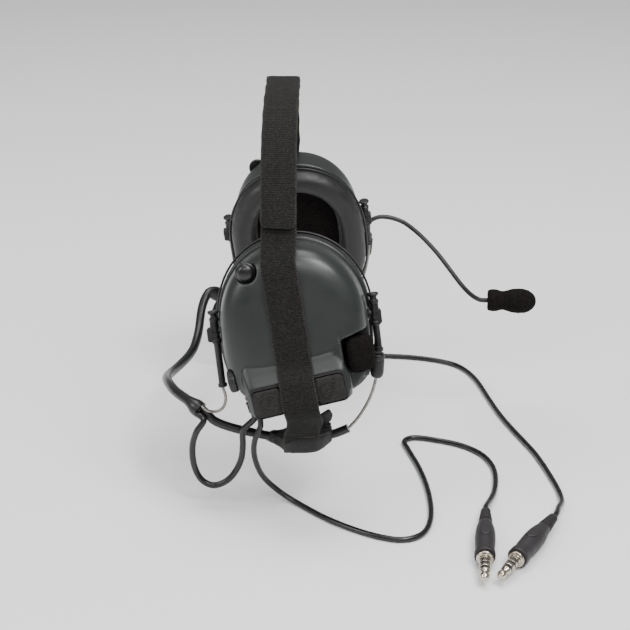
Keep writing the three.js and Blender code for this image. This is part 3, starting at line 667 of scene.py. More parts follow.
def plug(side):
    """A plug's boot with its ribbed strain relief, the jack's metal parts and the dark rings between them."""
    collar, way, _ = PLUGS[side]
    ribs = [(0, -PLUG_END), (2.7, -PLUG_END), (3.1, -57.2)]
    for k in range(RIB_COUNT):
        start = -56.2 + k * RIB_PITCH
        radius = 3.3 + k * 0.23
        inner = radius - 1.1
        ribs += [(radius, start), (radius, start + 1.1), (inner, start + 1.25), (inner, start + 2.25)]
    body = [(4.4, -41.8), (4.6, -40), (5.5, -35.5), (6.2, -30), (6.45, -24), (6.3, -17), (6, -10),
            (5.8, -5.6), (6.1, -5.3), (6.5, -4.9), (6.5, -0.5), (6.2, 0), (0, 0)]
    boot = turned(softened(ribs + body, 0.35), collar, way)
    grip = turned(softened([(0, 0), (3.3, 0), (3.3, 0.35), (2.7, 0.7), (0, 0.55)], 0.25),
                  collar - way * 21 + v(0, 0, 1) * 6.15, v(0, 0, 1), 32)
    boot_piece = show(f"{side}_boot", merged(boot, grip), "boot", "neckband", f"{side}_plug_boot")
    disc = [(0, 0.3), (5, 0.3), (5.3, 0.7), (5.3, 2), (4.9, 2.5), (3.55, 2.6), (3.55, 5.4), (0, 5.4)]
    ring_1 = [(0, 7), (3.55, 7), (3.55, 9.6), (0, 9.6)]
    ring_2 = [(0, 11.2), (3.5, 11.2), (3.5, 13.6), (3.3, 14), (0, 14)]
    tip = [(0, 15.6), (3.1, 15.6), (3.1, 17.2), (2, 18.8), (1.8, 19.8), (2.6, 20.8), (3.05, 22.2),
           (2.7, 23.8), (1.5, 25.2), (0, 25.6)]
    metal = merged(*[turned(softened(p, 0.22), collar, way) for p in (disc, ring_1, ring_2, tip)])
    show(f"{side}_jack", metal, "jack", "neckband", f"{side}_plug_jack")
    bands = [[(0, 5.3), (3.4, 5.3), (3.4, 7.1), (0, 7.1)], [(0, 9.5), (3.4, 9.5), (3.4, 11.3), (0, 11.3)],
             [(0, 13.9), (3.1, 13.9), (3, 15.7), (0, 15.7)]]
    dark = merged(*[turned(p, collar, way, 40) for p in bands])
    show(f"{side}_jack_insulators", dark, "band", "neckband")
    return boot_piece


def cable(name, route, radius, node):
    """A cable in two lengths: a tail by the cup, and the rest."""
    path = smooth_path(route, CABLE_STEP)
    cut = int(round(TAIL / CABLE_STEP))
    tail = show(f"{name}_tail", tube(path[: cut + 1], radius), "cable", None)
    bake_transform(tail)
    rest = show(name, tube(path[cut:], radius), "cable", None, node)
    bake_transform(rest)
    return rest, path[cut:], metres(path[0])


for side in SIDES:
    collar, way, route = PLUGS[side]
    boot_piece = plug(side)
    entry = collar - way * (PLUG_END + 0.4)
    full = route + [entry - way * 4, entry]
    lead, line, start = cable(f"{side}_lead", full, LEAD_RADIUS, f"{side}_plug_lead")
    link_route = [to_side(p, side) for p in LINK_ROUTE]
    cord, line, start = cable(f"{side}_link", link_route, LINK_RADIUS, f"{side}_link_cable")


# Band


def wire(name, route, side):
    path = smooth_path([to_side(p, side) for p in route], 0.8)
    show(f"{name}_spring", tube(path, 1, 18), "steel", "neckband", name)


FRONT_WIRE = [
    *[from_cup((49.4, height, -4)) for height in (-8.3, -17.3, -26.3)],
    v(50.4, -103.2, -37.7), v(46.4, -103.6, -52), v(38.6, -104, -66.2), v(33.6, -104, -72.2),
]
REAR_WIRE = [
    *[from_cup((-52.2, height, -4)) for height in (-20, -29, -38)],
    v(-45.7, -104.4, -50), v(-47.2, -104.8, -57.4), v(-52.2, -105.2, -60.4),
    by_mouth(-0.6, 4, 4.4), by_mouth(-0.6, 4, 0.4),
]
SHEATH = [
    v(33, -104, -72.7), v(25, -104, -76.4), v(12, -104, -79.2), v(0, -104, -80), v(-16, -104, -78.6),
    v(-34, -104, -74.6), v(-46, -104, -71), v(-54, -104, -67),
    by_mouth(2.2, -0.4, 4.4), by_mouth(2.2, -0.4, 0.4),
]
SLEEVE_TURN = v(-69, -98, -57)
SLEEVE = [
    MOUTH, SLEEVE_TURN, v(-79, -84, -56.5), v(-86, -62, -60), v(-90, -34, -69), v(-91.4, -10, -77.5),
    v(-89.4, 10, -82.6), v(-84.6, 32, -85.6), v(-78.6, 54, -84.6), v(-75.6, 74, -76.6), v(-74, 88, -65.4),
    SLEEVE_TURN * MIRROR, MOUTH * MIRROR,
]

for side in SIDES:
    wire(f"{side}_front_wire", FRONT_WIRE, side)
    wire(f"{side}_rear_wire", REAR_WIRE, side)
    path = smooth_path([to_side(p, side) for p in SHEATH], 1.4)
    show(f"{side}_sheath_tube", tube(path, 2.9, 24), "sleeve", "neckband", f"{side}_sheath")

# The sleeve is 5.4 mm in radius over its first 4 mm at each mouth, and 3.3 mm from 12 mm inward
sleeve_path = smooth_path(SLEEVE, CABLE_STEP)
steps = np.arange(len(sleeve_path))
from_mouth = np.minimum(steps, steps[::-1]) * CABLE_STEP
sleeve_radius = 3.3 + 2.1 * np.clip(1 - (from_mouth - 4) / 8, 0, 1) ** 1.5
show("neck_sleeve_tube", tube(sleeve_path, sleeve_radius, 28), "sleeve", "neckband", "neck_sleeve")


# Straps

STRAP_WIDTH = 22
STRAP_THICKNESS = 1.8
# Heights at which a strap leaves the band, joins the cup, leaves it, hangs free and meets the crown
STRAP_LEVELS = (-69, -56, 43, 56, 116)
ROUNDED_END = 7
STRAP_LOWER = [v(2.6, -108.6, -84.6), v(2.8, -113, -81.2), v(2.6, -120.4, -73.8), v(3.2, -128.8, -64)]
STRAP_ON_CUP = [from_cup(p) for p in (
    (-0.9, -58.5, 27), (-1.2, -53.4, 34), (-1.8, -48, 37), (-2.2, -38, 37.2), (-2.6, -31.6, 36.6),
    (-2.9, -27.6, 33.6), (-3.1, -23.6, 29.8), (-3.4, -19, 28.4), (-3.8, -8, 27.9), (-4.2, 6, 27.9),
    (-4.8, 20, 27.6), (-5.4, 34, 26.4), (-5.8, 42, 24.6),
)]
STRAP_ON_HEAD = [
    v(-10.8, -108, 57), v(-10.9, -101, 69), v(-11, -92, 83), v(-11, -79, 98.6), v(-10.8, -62, 111.4),
    v(-10.4, -42, 120.4), v(-10, -20, 124.6), v(-9.6, 0, 125.6),
]
STRAP_END = [v(-9.6, 18, 124.8), v(-9.8, 32, 122.6)]
OVERLAP = [
    v(-11.6, -107.6, 64.4), v(-11.2, -104, 70.4), v(-11, -94.2, 84.6), v(-11, -80.8, 100.6),
    v(-10.8, -63.2, 113.8), v(-10.4, -42.6, 122.9), v(-10, -20.3, 127.1), v(-9.6, 0, 128.1),
    v(-9.8, 20, 127.1), v(-10.2, 37, 123.6),
]


def strap_rings(route, step=0.3, round_start=False, seed=0):
    """Sections of the webbing with its ribs, its uneven edges and its pile."""
    path = smooth_path(route, step)
    along = tangents(path)
    total = length_of(path)
    shape = [(t * face, face) for face in (1, -1) for t in np.linspace(-1, 1, 13)]
    rings, uvs = [], []
    for i, (at, way) in enumerate(zip(path, along)):
        run = i * total / (len(path) - 1)
        lift = np.clip((at[2] - 30) / 40, 0, 1)  # 0 on the cup, 1 on the head
        width_way = unit(FORWARD * (1 - lift) + v(1, 0, 0) * lift)
        side_way = unit(width_way - way * width_way.dot(way))
        out = np.cross(side_way, way)
        half = STRAP_WIDTH / 2 + 0.22 * sin(2 * pi * run / RIB) + 0.18 * sin(run * 0.31 + seed)
        if round_start and run < ROUNDED_END:
            half *= 0.62 + 0.38 * sqrt(1 - (1 - run / ROUNDED_END) ** 2)
        rib = 0.13 * sin(2 * pi * run / RIB)
        curl = 0.25 * sin(run * 0.045 + seed)
        ring = []
        for t, face in shape:
            edge = 1 - abs(t) ** 7
            thick = STRAP_THICKNESS / 2 * (0.45 + 0.55 * edge)
            spot = Vector((t * 5 + seed, run * 0.5, face * 3.1))
            pile = 0.11 * noise.noise(spot * 1.3)
            offset = face * (thick + (rib + pile) * edge) + curl * t * t
            ring.append(at + side_way * (t * half) + out * offset)
            uvs.append((t / 2 + 0.5, run))
        rings.append(ring)
    return path, np.array(rings), np.array(uvs), total


def strap_pieces(name, node, strap, cuts):
    """Cuts a strap where its body changes. cuts holds (piece, first, last, body or (a, b, start, end))."""
    path, rings, uvs, _ = strap
    per = rings.shape[1]
    made = []
    for piece, first, last, bodies in cuts:
        first, last = max(first, 0), min(last, len(rings) - 1)
        points, faces = loft(rings[first : last + 1])
        obj = show(f"{name}_{piece}", (points, faces), "webbing", bodies if isinstance(bodies, str) else None,
                   crease=75, uvs=uvs[first * per : (last + 1) * per])
        if not isinstance(bodies, str):
            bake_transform(obj)
        made.append(obj)
    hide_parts(node)
    return made


def strap_cuts(path, from_keeper):
    """The sections at which a strap first passes each level, going up from the keeper."""
    order = range(len(path)) if from_keeper else range(len(path) - 1, -1, -1)
    return [next(i for i in order if path[i][2] > level_z) for level_z in STRAP_LEVELS]


def lay_strap(side, strap, from_keeper, end_side=None):
    """The pieces of one strap. With end_side it crosses the crown and lies on the other cup's strap."""
    path = strap[0]
    low, on, off, free, crown = strap_cuts(path, from_keeper)
    start, last = (0, len(path) - 1) if from_keeper else (len(path) - 1, 0)
    cup, carriage = f"{side}_cup", f"{side}_carriage"
    spans = [
        ("tuck", start, low, ("neckband", carriage, path[start], path[low])),
        ("under", low, on, (carriage, cup, path[low], path[on])),
        ("over_cup", on, off, cup),
        ("above", off, free, (cup, carriage, path[off], path[free])),
        ("rise", free, crown, (carriage, "neckband", path[free], path[crown])),
    ]
    if end_side:
        other = next(i for i in range(len(path)) if path[i][1] < 0 and path[i][2] > STRAP_LEVELS[-1])
        spans.append(("crown", crown, other, "neckband"))
        spans.append(("tongue", other, last, (f"{end_side}_carriage", "neckband", BLEND_START, BLEND_END)))
    else:
        spans.append(("crown", crown, last, "neckband"))
    cuts = [(piece, min(a, b), max(a, b), bodies) for piece, a, b, bodies in spans]
    return strap_pieces(f"{side}_webbing", f"{side}_strap", strap, cuts)


RIGHT_ROUTE = STRAP_LOWER + STRAP_ON_CUP + STRAP_ON_HEAD + STRAP_END
LEFT_ROUTE = OVERLAP + [p * MIRROR for p in reversed(STRAP_LOWER + STRAP_ON_CUP + STRAP_ON_HEAD[:5])]
right_strap = strap_rings(RIGHT_ROUTE)
cuts = strap_cuts(right_strap[0], True)
BLEND_START, BLEND_END = right_strap[0][cuts[3]], right_strap[0][cuts[4]]
lay_strap("right", right_strap, True)
lay_strap("left", strap_rings(LEFT_ROUTE, round_start=True, seed=7.3), False, "right")


# Keepers

TONGUE_SLANT = 0.61


def keeper_body():
    """A moulded tube on the sheath with a stepped foot and a slanting tongue over its front end."""
    core = tube(smooth_path([v(18, -104, -78), v(3, -104, -79.8), v(-13, -104, -79.1)], 0.8), 4.6, 36)
    along = v(cos(TONGUE_SLANT), 0, sin(TONGUE_SLANT))
    up = v(-sin(TONGUE_SLANT), 0, cos(TONGUE_SLANT))
    outline = [(-9, -3.7), (5.5, -3.7), (8.6, -1), (9, 2.6), (8, 3.7), (-9, 3.7)]
    middle = v(15.4, -104, -67.2)
    tongue = loft([[middle + along * x + up * y + v(0, side, 0) for x, y in outline] for side in (-1.3, 1.3)])
    foot = block((12.5, -106.6, -78.7), (21.9, -101.4, -69.7))
    rear_end = [(0, 0), (4.6, 0), (4.4, 3), (3.2, 5.4), (0, 5.4)]
    rear_end = turned(rear_end, v(-13, -104, -79.1), v(-1, 0, 0.13), 32)
    bore = tube(smooth_path([v(38, -104, -70.2)] + SHEATH[:7], 1.5), 3, 28)
    return carve([core, foot, tongue, rear_end], [bore], 0.42, 3)


def flap_body():
    """The webbing's cover, folded round the keeper and the foot of the strap."""
    rows = [
        (-15.2, -104.4, -79.2, 3.9, 3.7), (-11, -106, -79.4, 6, 4.8), (-6, -110.6, -78, 11.4, 5.6),
        (1, -112.4, -74.8, 14.4, 7.6), (10, -112.4, -74.4, 14.4, 7.6), (16, -110.2, -75.9, 10.8, 5.7),
        (21, -105.6, -76.4, 5.4, 4.9), (22.4, -105, -76.2, 4.4, 4.2),
    ]
    rings = []
    for x, y, z, deep, tall in eased(rows, 5):
        ring = []
        for a in around(56):
            crease = 1 + 0.035 * noise.noise(Vector((x * 0.35, 3 * cos(a), 3 * sin(a))))
            c, d = cos(a), sin(a)
            power = 0.45 if d > 0 else 0.45 + 0.5 * min(1, -2 * d)
            ring.append((x, y + deep * crease * copysign(abs(c) ** power, c),
                         z + tall * crease * copysign(abs(d) ** 0.5, d)))
        rings.append(ring)
    return loft(rings)


def seam_line():
    """The stitched edge along the top of the cover."""
    path = smooth_path([
        (-13.6, -108.4, -76.6), (-6, -120.4, -73.4), (1, -125.7, -68.6), (11, -125.7, -68.2),
        (20, -112.4, -71.6),
    ], 0.5)
    return tube(path, 0.42 + 0.1 * np.sin(np.arange(len(path)) * 2.4), 8)


# The webbing's tail, from the foot of the strap round under the sheath
TAIL_ROUTE = [
    v(2.6, -112.2, -82.4), v(2.5, -110, -85.4), v(2.3, -106.4, -87), v(2.2, -101.6, -87),
    v(2, -98, -84.6), v(2, -97.2, -80.6), v(2.2, -98.8, -76.4),
]
EYELET = loop([[(-1.3 * r * cos(a), h, r * sin(a)) for a in around(28)]
               for r, h in ((1.5, -0.5), (2.3, -0.5), (2.3, 0.5), (1.5, 0.5))])
EYELET = shift(EYELET, (-17.6, -105.4, -79.4))
KEEPER = keeper_body()
FLAP = flap_body()
SEAM = seam_line()
for side in SIDES:
    show(f"{side}_keeper_moulding", mirrored(KEEPER, side), "plastic", "neckband", f"{side}_keeper")
    show(f"{side}_keeper_cover", mirrored(FLAP, side), "cloth", "neckband", crease=80)
    show(f"{side}_keeper_stitching", mirrored(SEAM, side), "webbing_edge", "neckband")
    _, rings, uvs, total = strap_rings([to_side(p, side) for p in TAIL_ROUTE], seed=3.1)
    tail = show(f"{side}_webbing_tail", loft(rings), "webbing", "neckband", crease=75, uvs=uvs)
    show(f"{side}_keeper_eyelet", mirrored(EYELET, side), "steel", "neckband")


# Cups

CUP_MIDDLE = -1.5
HALF_LENGTH = 47
HALF_HEIGHT = 52


def outline(angle, inset, height):
    """A point of the cup's outline, this far inside its rim: round above and squarer below."""
    c, s = cos(angle), sin(angle)
    power = 2 / (2.1 if s > 0 else 3.2)
    return (
        CUP_MIDDLE + copysign((HALF_LENGTH - inset) * abs(c) ** power, c),
        copysign((HALF_HEIGHT - inset) * abs(s) ** power, s),
        height,
    )


def outline_ring(inset, height, count=160):
    return [outline(a, inset, height) for a in around(count)]


def ring_band(profile, count=200):
    """A closed band round the cup's outline; the profile holds (inset, height) pairs."""
    return loop([[outline(angle, inset, height) for inset, height in profile] for angle in around(count)])


KEYPAD_TILT = radians(7)
KEYPAD_MIDDLE = v(-2, -40, 0)


def on_keypad(body):
    return shift(spun(body, KEYPAD_TILT), KEYPAD_MIDDLE)


BATTERY_TILT = radians(7)
CORNER_SIZE = 40
BATTERY_CAP = v(-43.5, -30.3, 13)
BATTERY_AXIS = v(cos(BATTERY_TILT), sin(BATTERY_TILT), 0)
BATTERY_UP = v(-sin(BATTERY_TILT), cos(BATTERY_TILT), 0)
PIVOT_DEPTH = -4
PORT_TOP = v(48.7, -25.5, 4.5)
PORT_BOTTOM = v(45.9, -40.8, 4.5)
PORT_AXIS = unit(PORT_TOP - PORT_BOTTOM)
DOME_PLACE = v(-26.5, 38, 0)


def rod(radius, start, end, segments=40):
    way = end - start
    length = np.linalg.norm(way)
    return turned([(0, 0), (radius, 0), (radius, length), (0, length)], start, way, segments)


def battery_at(distance):
    return BATTERY_CAP + BATTERY_AXIS * distance


def pivot_rod(radius, start, end):
    return rod(radius, v(start, 0, PIVOT_DEPTH), v(end, 0, PIVOT_DEPTH))


def battery_corner(along, above, inner, outer):
    """The corner cut away behind and below the battery's lid, reaching inner and outer in depth."""
    half = CORNER_SIZE / 2
    middle = battery_at(along - half) + BATTERY_UP * (above - half)
    return spun(block(middle - v(half, half, inner), middle + v(half, half, outer)), BATTERY_TILT, middle[:2])


def shell_body(with_keypad):
    """The cup's moulding, hollow inside, with a pocket for the keypad's base where there is a keypad."""
    dome = [(0.8, 6), (2, 14), (4.6, 19.2), (9.2, 22.8), (17, 25), (30, 26), (44, 26.3)]
    outside = loft([outline_ring(*row) for row in [(0.2, -11.8), *eased(dome)]])
    hollow = [(2.2, -13), (2.8, 4), (4.8, 12.5), (9.6, 18.5), (20, 21.8)]
    inside = loft([outline_ring(*row, 96) for row in hollow])
    housing = on_keypad(pillow([
        (33.2, -10.5, 23, 6, 10), (33.2, -10.3, 23, 6, 24.6), (31.6, -10.2, 16.5, 5.2, 28),
        (30.4, -10.1, 11, 4.2, 30.6), (29.8, -9.7, 10, 3.8, 31),
    ]))
    recess = prism([(27, -10), (27.6, -25), (31, -33.4), (62, -33.4), (62, -0.5)], 2.6, 50)
    lowered = prism([(30.5, -32), (62, -32), (62, -62), (30.5, -62)], 9, 50)
    ridge = loft([
        [(inner, height, 15), (outer, height, 15),
         (outer - 1.5, height, top), (inner + 1.5, height, top - 0.8)]
        for height, inner, outer, top in ((-1, 20, 27, 23.5), (-6, 20, 27.8, 25.3), (-12, 20, 28.4, 26.8),
                                          (-22, 20.5, 29.4, 28.6), (-30, 21, 32, 30), (-40, 22, 33.5, 30.2))
    ])
    recess_wall = prism([(24.6, -7.4), (25.2, -25), (28.6, -35.8), (62, -35.8), (62, 2)], 0.2, 60)
    lowered_wall = prism([(28, -29.6), (62, -29.6), (62, -64), (28, -64)], 6.6, 60)
    tube_wall = rod(7.6, battery_at(2.6), battery_at(51))
    bore = rod(5.7, battery_at(-2), battery_at(49))
    plug_hole = turned([(0, 17.6), (6.8, 17.6), (6.9, 30), (0, 30)], DOME_PLACE, v(0, 0, 1))
    pocket = on_keypad(pillow([(26.5, -7.2, 7.4, 2, 25), (26.5, -7.2, 7.4, 2, 40)]))
    bosses = [
        rod(3.8, v(-30, -40, 5.4), v(-30, -50.5, 5.4)), rod(3.6, v(-35.2, -36, 0), v(-35.2, -47, 0)),
        block((37.3, -38, 2.1), (41.9, -33, 7.1)), pivot_rod(3.4, 38, 46.1), pivot_rod(3.4, -41, -49),
    ]
    walls = [recess_wall, lowered_wall, battery_corner(4.6, 10.1, 20.2, 29), tube_wall,
             pivot_rod(4, 38, 60), pivot_rod(4, -41, -60)]
    cuts = [less(inside, walls), recess, lowered, battery_corner(2.4, 7.9, 18, 27), bore, plug_hole,
            pivot_rod(2.3, 43, 60), pivot_rod(2.3, -46, -70)]
    if with_keypad:
        cuts.append(pocket)
    return carve([outside, housing, ridge, tube_wall] + bosses, cuts, 0.62, 13)


def on_cup(side, piece, body, material, *nodes, rides="cup", crease=40):
    """A piece in a cup's frame. The side is put before the names of the piece, its body and its nodes."""
    nodes = [f"{side}_{node}" for node in nodes]
    return show(f"{side}_{piece}", cup_body(body, side), material, f"{side}_{rides}", *nodes, crease=crease)


SHELLS = {"right": shell_body(True), "left": shell_body(False)}
for side in SIDES:
    on_cup(side, "shell", SHELLS[side], "shell", "cup_shell", crease=60)
    rim = ring_band([(1.6, -12), (-1.2, -12), (-1.6, -11.6), (-1.7, -10.6), (-1.5, -9.6), (-0.9, -9.1),
                     (0.4, -8.9), (1.6, -8.9)])
    on_cup(side, "shell_rim", rim, "shell")


# Ear cushions, puffed by a cloth simulation

CLOTH_FRAMES = 20
MOST_PUFF = 1.3


def cushion_form(deflate):
    """The ear cushion's ring, drawn in towards the middle of its section."""
    rows = [(-1.2, -14.6), (-2.4, -17.5), (-2.6, -21), (-1.8, -26), (1.8, -29.6), (6.8, -31), (12, -29.4),
            (15.2, -25.5), (15.4, -21), (14.4, -17.5), (13, -14.6)]
    rows = np.array(rows)
    middle = rows.mean(axis=0)
    halfway = (rows + np.roll(rows, -1, axis=0)) / 2
    ring = np.stack([rows, halfway], axis=1).reshape(-1, 2)
    return ring_band(middle + (ring - middle) * deflate, 120)


def puffed(body):
    """The body on a grid, inflated by cloth pressure, with each point kept within MOST_PUFF of its start."""
    source = temporary(body)
    on_grid(source, 3.2)
    points, faces = applied(source)
    dropped(source)
    work = temporary((points * MM, faces))
    held_from = points[:, 2].max() - 1.2
    group = work.vertex_groups.new(name="held")
    group.add([int(i) for i in np.flatnonzero(points[:, 2] > held_from)], 1, "REPLACE")
    cloth = work.modifiers.new("cloth", "CLOTH")
    cloth.settings.use_pressure = True
    cloth.settings.uniform_pressure_force = 4
    cloth.settings.effector_weights.gravity = 0
    cloth.settings.vertex_group_mass = "held"
    cloth.settings.tension_stiffness = 18
    cloth.settings.bending_stiffness = 2
    scene = bpy.context.scene
    scene.frame_start, scene.frame_end = 1, CLOTH_FRAMES
    for step in range(1, CLOTH_FRAMES + 1):
        scene.frame_set(step)
    travel = applied(work)[0] / MM - points
    scene.frame_set(1)
    dropped(work)
    reach = np.linalg.norm(travel, axis=1)[:, None]
    base = temporary((points + travel * np.minimum(1, MOST_PUFF / np.maximum(reach, 1e-9)), faces))
    fine = base.modifiers.new("fine", "SUBSURF")
    fine.levels = 1
    ease = base.modifiers.new("ease", "SMOOTH")
    ease.iterations = 3
    result = applied(base)
    dropped(base)
    return result


CUSHION = puffed(cushion_form(0.95))
for side in SIDES:
    cushion = on_cup(side, "ear_pad", CUSHION, "skin", "cushion", crease=80)
    seam = ring_band([(-2.9 + 0.75 * cos(a), -20.5 + 0.75 * sin(a)) for a in around(10)])
    on_cup(side, "ear_pad_seam", seam, "skin")
    plate = ring_band([(-1.4, -14.3), (-1.4, -12.3), (17, -12.3), (17, -14.3)], 160)
    on_cup(side, "seal_plate", plate, "plastic", "backplate")
    liner = loft([outline_ring(*row, 120) for row in ((9, -11.9), (8, -11.2), (8, -6.4))])
    on_cup(side, "liner", liner, "foam", "ear_foam")


# Small parts on each cup


SCREW_HEIGHT = -2.6


def guide_body(x, bottom, reach):
    """The guide on the wire at x: a barrel, a pin, two cheeks, and a wing of this reach with a screw."""
    profile = [
        (0, 10.5), (1.3, 10.5), (1.3, bottom), (2.5, bottom), (2.9, bottom + 0.4), (2.9, bottom + 2.2),
        (2.2, bottom + 2.8), (2.25, -8.4), (3.1, -8.1), (3.2, -7.6), (3.2, -5.8), (2.6, -5.2), (2.5, 5.2),
        (3.1, 5.6), (3.2, 7.8), (2.2, 8.6), (2.2, 10), (3.1, 10.7), (3.7, 11.4), (3.7, 12.2), (3.2, 12.7),
        (0, 12.5),
    ]
    barrel = turned(softened(profile, 0.3), v(x, 0, PIVOT_DEPTH), v(0, 1, 0), 40)
    inward = copysign(1, x)
    pin = pivot_rod(1.9, x - inward * 5.4, x - inward * 2.1)
    cheek = pillow([(1.5, -2.2, 2.2, 0.6, -2.7), (1.9, -2.4, 2.4, 0.8, -2), (1.9, -2.4, 2.4, 0.8, 2),
                    (1.5, -2.2, 2.2, 0.6, 2.7)])
    cheeks = [shift(cheek, (x + inward * 0.9, height, PIVOT_DEPTH)) for height in (-3, 3)]
    wing = pillow([(1.5, -4.2, 4.2, 1.2, -2.5), (1.9, -4.6, 4.6, 1.5, -2), (1.9, -4.6, 4.6, 1.5, 2),
                   (1.5, -4.2, 4.2, 1.2, 2.5)])
    wing = wing[0] * v((reach - 1.2) / 3.8, 1, 1), wing[1]
    wing = shift(wing, (x + inward * (reach + 1.2) / 2, SCREW_HEIGHT, PIVOT_DEPTH))
    screw = turned([(0, 2.2), (1.7, 2.2), (1.7, 3.1), (0, 3.1)],
                   v(x + inward * 0.5, SCREW_HEIGHT, PIVOT_DEPTH), v(0, 0, 1), 40)
    return merged(barrel, pin, wing, screw, *cheeks)


def foam_block():
    rows = [(5.6, -29.8, -12, 3.2, 34.9), (6.4, -30.8, -11, 9.4, 35.2), (8.6, -31.2, -9.9, 12.4, 37.6),
            (9, -31.4, -9.5, 19, 37.9), (7.6, -30, -11, 22.6, 37.7), (4.6, -27, -14.4, 24, 37.4)]
    rings = []
    for half, low, high, height, middle in rows:
        ring = np.array(rounded_ring(half, low, high, min(4.6, half * 0.7), height, 5))
        ring[:, 0] += middle
        rings.append(ring)
    body = loft(rings)
    return roughened(carve([body], [], 0.55, 10), 0.32, 1.1)


def roughened(body, depth, scale, seed=0):
    """Moves each point by fine noise, for open-cell foam."""
    points = np.asarray(body[0], float)
    middle = points.mean(axis=0)
    moved = []
    for p in points:
        spot = Vector(p) * scale
        amount = noise.noise(spot + Vector((seed, 0, 0))) + 0.5 * noise.noise(spot * 2.3)
        moved.append(p + unit(p - middle) * depth * amount)
    return np.array(moved), body[1]


def gland_body(top, way):
    """A cable gland: a flange and four ribs that get thinner along the cable."""
    rows = [(0, 0), (3.5, 0), (3.5, 1.4)]
    for k in range(4):
        start = 1.7 + k * 1.3
        radius = 3.25 - k * 0.14
        rows += [(radius - 0.4, start), (radius - 0.4, start + 0.35), (radius, start + 0.45),
                 (radius, start + 1.1)]
    rows += [(2.4, 7), (0, 7)]
    return turned(softened(rows, 0.2), top, way, 40)


def cap_body():
    """The battery's lid: a stepped disc with knurls round its edge and a coin slot."""
    disc = [(0, -2.6), (6.2, -2.6), (7.1, -1.9), (7.1, 2), (5.2, 2.1), (5.2, 3.1), (0, 3.1)]
    disc = turned(softened(disc), BATTERY_CAP, BATTERY_AXIS, 64)
    knurls = []
    side_way, up = across(BATTERY_AXIS)
    for a in around(30):
        centre = battery_at(0.1) + 7 * (side_way * cos(a) + up * sin(a))
        knurls.append(turned([(0, -1.8), (0.32, -1.7), (0.32, 1.7), (0, 1.8)], centre, BATTERY_AXIS, 8))
    face = battery_at(-2.6)
    slot = spun(block(face - v(0.9, 0.8, 5.4), face + v(0.9, 0.8, 5.4)), BATTERY_TILT, face[:2])
    return merged(less(disc, [slot]), *knurls)


def barrel_body():
    """The socket that holds the boom on one side and a blanking plug on the other."""
    length = float(np.linalg.norm(PORT_TOP - PORT_BOTTOM))
    rows = [(0, 0), (1.6, 0.2), (3, 0.9), (3.9, 2.2), (4.3, 4.4), (4.3, length - 3.4), (4.1, length - 3.1),
            (4.1, length - 2.6), (4.3, length - 2.3), (4.3, length - 0.4), (3.9, length), (2.5, length),
            (2.4, length - 8), (0, length - 8)]
    return turned(softened(rows, 0.25), PORT_BOTTOM, PORT_TOP - PORT_BOTTOM, 48)


FOAM = foam_block()
for side in SIDES:
    for end, form in (("front", (49.4, -25.3, 4.2)), ("rear", (-52.2, -37, 5.4))):
        on_cup(side, f"guide_{end}", guide_body(*form), "plastic", f"{end}_guide", rides="carriage")
    dome = [(0, 17.9), (6.2, 17.9), (6.4, 18.2), (6.4, 20.3), (6.1, 20.9), (5.4, 21.1), (5.2, 21.7),
            (4.6, 22.7), (3.4, 23.5), (1.8, 23.95), (0, 24.1)]
    dome = turned(softened(dome), DOME_PLACE, v(0, 0, 1), 56)
    on_cup(side, "dome", dome, "gloss", "dome_plug")
    on_cup(side, "mic_windscreen", FOAM, "foam", "mic_foam", crease=180)
    on_cup(side, "port", barrel_body(), "plastic", "port_barrel")
    for name, top, way in (("lead_gland", LEAD_GLAND, LEAD_WAY), ("link_gland", LINK_GLAND, LINK_WAY)):
        on_cup(side, f"{name}_sleeve", gland_body(top, way), "rubber", name)
    on_cup(side, "battery_lid", cap_body(), "plastic", "battery_cap", rides="battery_lid")


# Keypad on the right cup, cover on the left one

KEY_OFFSET = 19.3
KEY_TOP = 34.9


def slab_body(holes):
    slab = pillow([(29, -9.1, 9.3, 3.3, 31.3), (29.4, -9.4, 9.6, 3.6, 31.7), (29.4, -9.4, 9.6, 3.6, 33.4),
                   (28.8, -8.8, 9, 3.2, 34)], 8)
    hole = pillow([(9.7, -8.6, 8.6, 3.2, 30), (9.7, -8.6, 8.6, 3.2, 37)], 8)
    cuts = [shift(hole, (offset, 0, 0)) for offset in (-KEY_OFFSET, KEY_OFFSET)] if holes else []
    return on_keypad(roughened(carve([slab], cuts, 0.5, 2), 0.06, 0.8))


def pad_body(side):
    """A key with three raised arcs; side is -1 for the rear key and 1 for the front one."""
    rows = [(4.5, -4.5, 4.5, 1.5, 28), (4.5, -4.5, 4.5, 1.5, 32.6), (8.9, -7.8, 7.8, 2.8, 32.65),
            (9.3, -8.2, 8.2, 3, 33), (9.3, -8.2, 8.2, 3, 34), (8.8, -7.7, 7.7, 2.7, 34.6),
            (7.8, -6.7, 6.7, 2.4, KEY_TOP)]
    body = pillow(rows, 8)
    ridges = []
    for radius, start, end in ((5.6, 0.6, 4.6), (3.4, 3.6, 7.8), (1.5, 0.2, 5)):
        turn = np.linspace(start, end, 26)
        path = np.stack([radius * np.cos(turn), 0.9 * radius * np.sin(turn), np.full(26, KEY_TOP)], axis=1)
        ridges.append(tube(path, 0.55, 10))
    top = roughened(carve([body], [], 0.45, 3), 0.08, 0.8, side * 9)
    return on_keypad(shift(merged(top, *ridges), (side * KEY_OFFSET, 0, 0)))


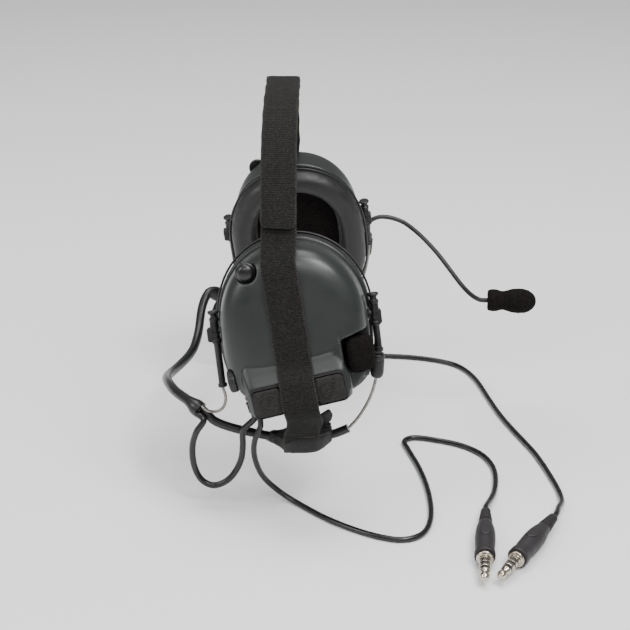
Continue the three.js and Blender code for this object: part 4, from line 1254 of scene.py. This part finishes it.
on_cup("right", "keypad_frame", slab_body(True), "rubber", "keypad_base", crease=70)
for name, side in (("down", -1), ("up", 1)):
    key = cup_body(pad_body(side), "right")
    show(f"key_{name}", key, "rubber", f"button_{name}", f"right_button_{name}", crease=60)
on_cup("left", "cover", slab_body(False), "rubber", "cover_plate", crease=70)
stopper = [(0, -7), (2, -7), (2, 0.3), (3.4, 0.3), (3.4, 1.4), (1.7, 1.8), (1.5, 2.4), (1.5, 4.4),
           (1.2, 4.8), (0, 4.8)]
stopper = turned(softened(stopper, 0.25), PORT_TOP, PORT_AXIS, 40)
on_cup("right", "port_stopper", stopper, "rubber", "port_plug")


# Boom microphone

BOOM_END = v(136, 31, -37)
BOOM_AXIS = unit(v(1, -0.12, 0.02))
peg = [(0, -7), (2, -7), (2, 0.3), (3.4, 0.3), (3.4, 3.6), (2.6, 5), (1.7, 5.4), (0, 5.4)]
peg = turned(softened(peg), PORT_TOP, PORT_AXIS, 40)
rise = [from_cup(PORT_TOP + PORT_AXIS * h, "left") for h in (2, 9, 14)]
arm_route = rise + [rise[2] + v(8, 1, 4), v(78, 108, -4), v(103, 84, -21), v(120, 50, -35),
                    BOOM_END - BOOM_AXIS * 6, BOOM_END]
arm = tube(smooth_path(arm_route, 1), 1.7, 24)
show("boom_gooseneck", merged(cup_body(peg, "left"), arm), "plastic", "boom", "boom_arm")
screen = [(0.2, 14), (4.4, 14), (4.4, -0.6), (5, -1), (6.6, -0.9), (7.6, 0.4), (8, 3), (7.7, 6), (6.8, 8.8),
          (6.7, 10.6), (7.4, 13), (8.4, 16.5), (8.9, 21), (8.6, 25), (7.5, 28.6), (5.4, 31.4), (3, 33),
          (0.2, 33.7)]
screen = carve([turned(screen, BOOM_END, BOOM_AXIS, 56)], [], 0.5, 4)
show("boom_foam", roughened(screen, 0.3, 1.1, 3), "foam", "boom", "boom_windscreen", crease=180)


# CAD pieces that stay, with better materials
for node, look in (("speaker", "plastic"), ("battery", "battery"), ("mic_capsule", "steel")):
    for side in SIDES:
        bpy.data.objects[f"{side}_{node}"].data.materials[0] = MAT[look]
bpy.data.objects["right_circuit_board"].data.materials[0] = MAT["board"]
bpy.data.objects["boom_capsule"].data.materials[0] = MAT["plastic"]
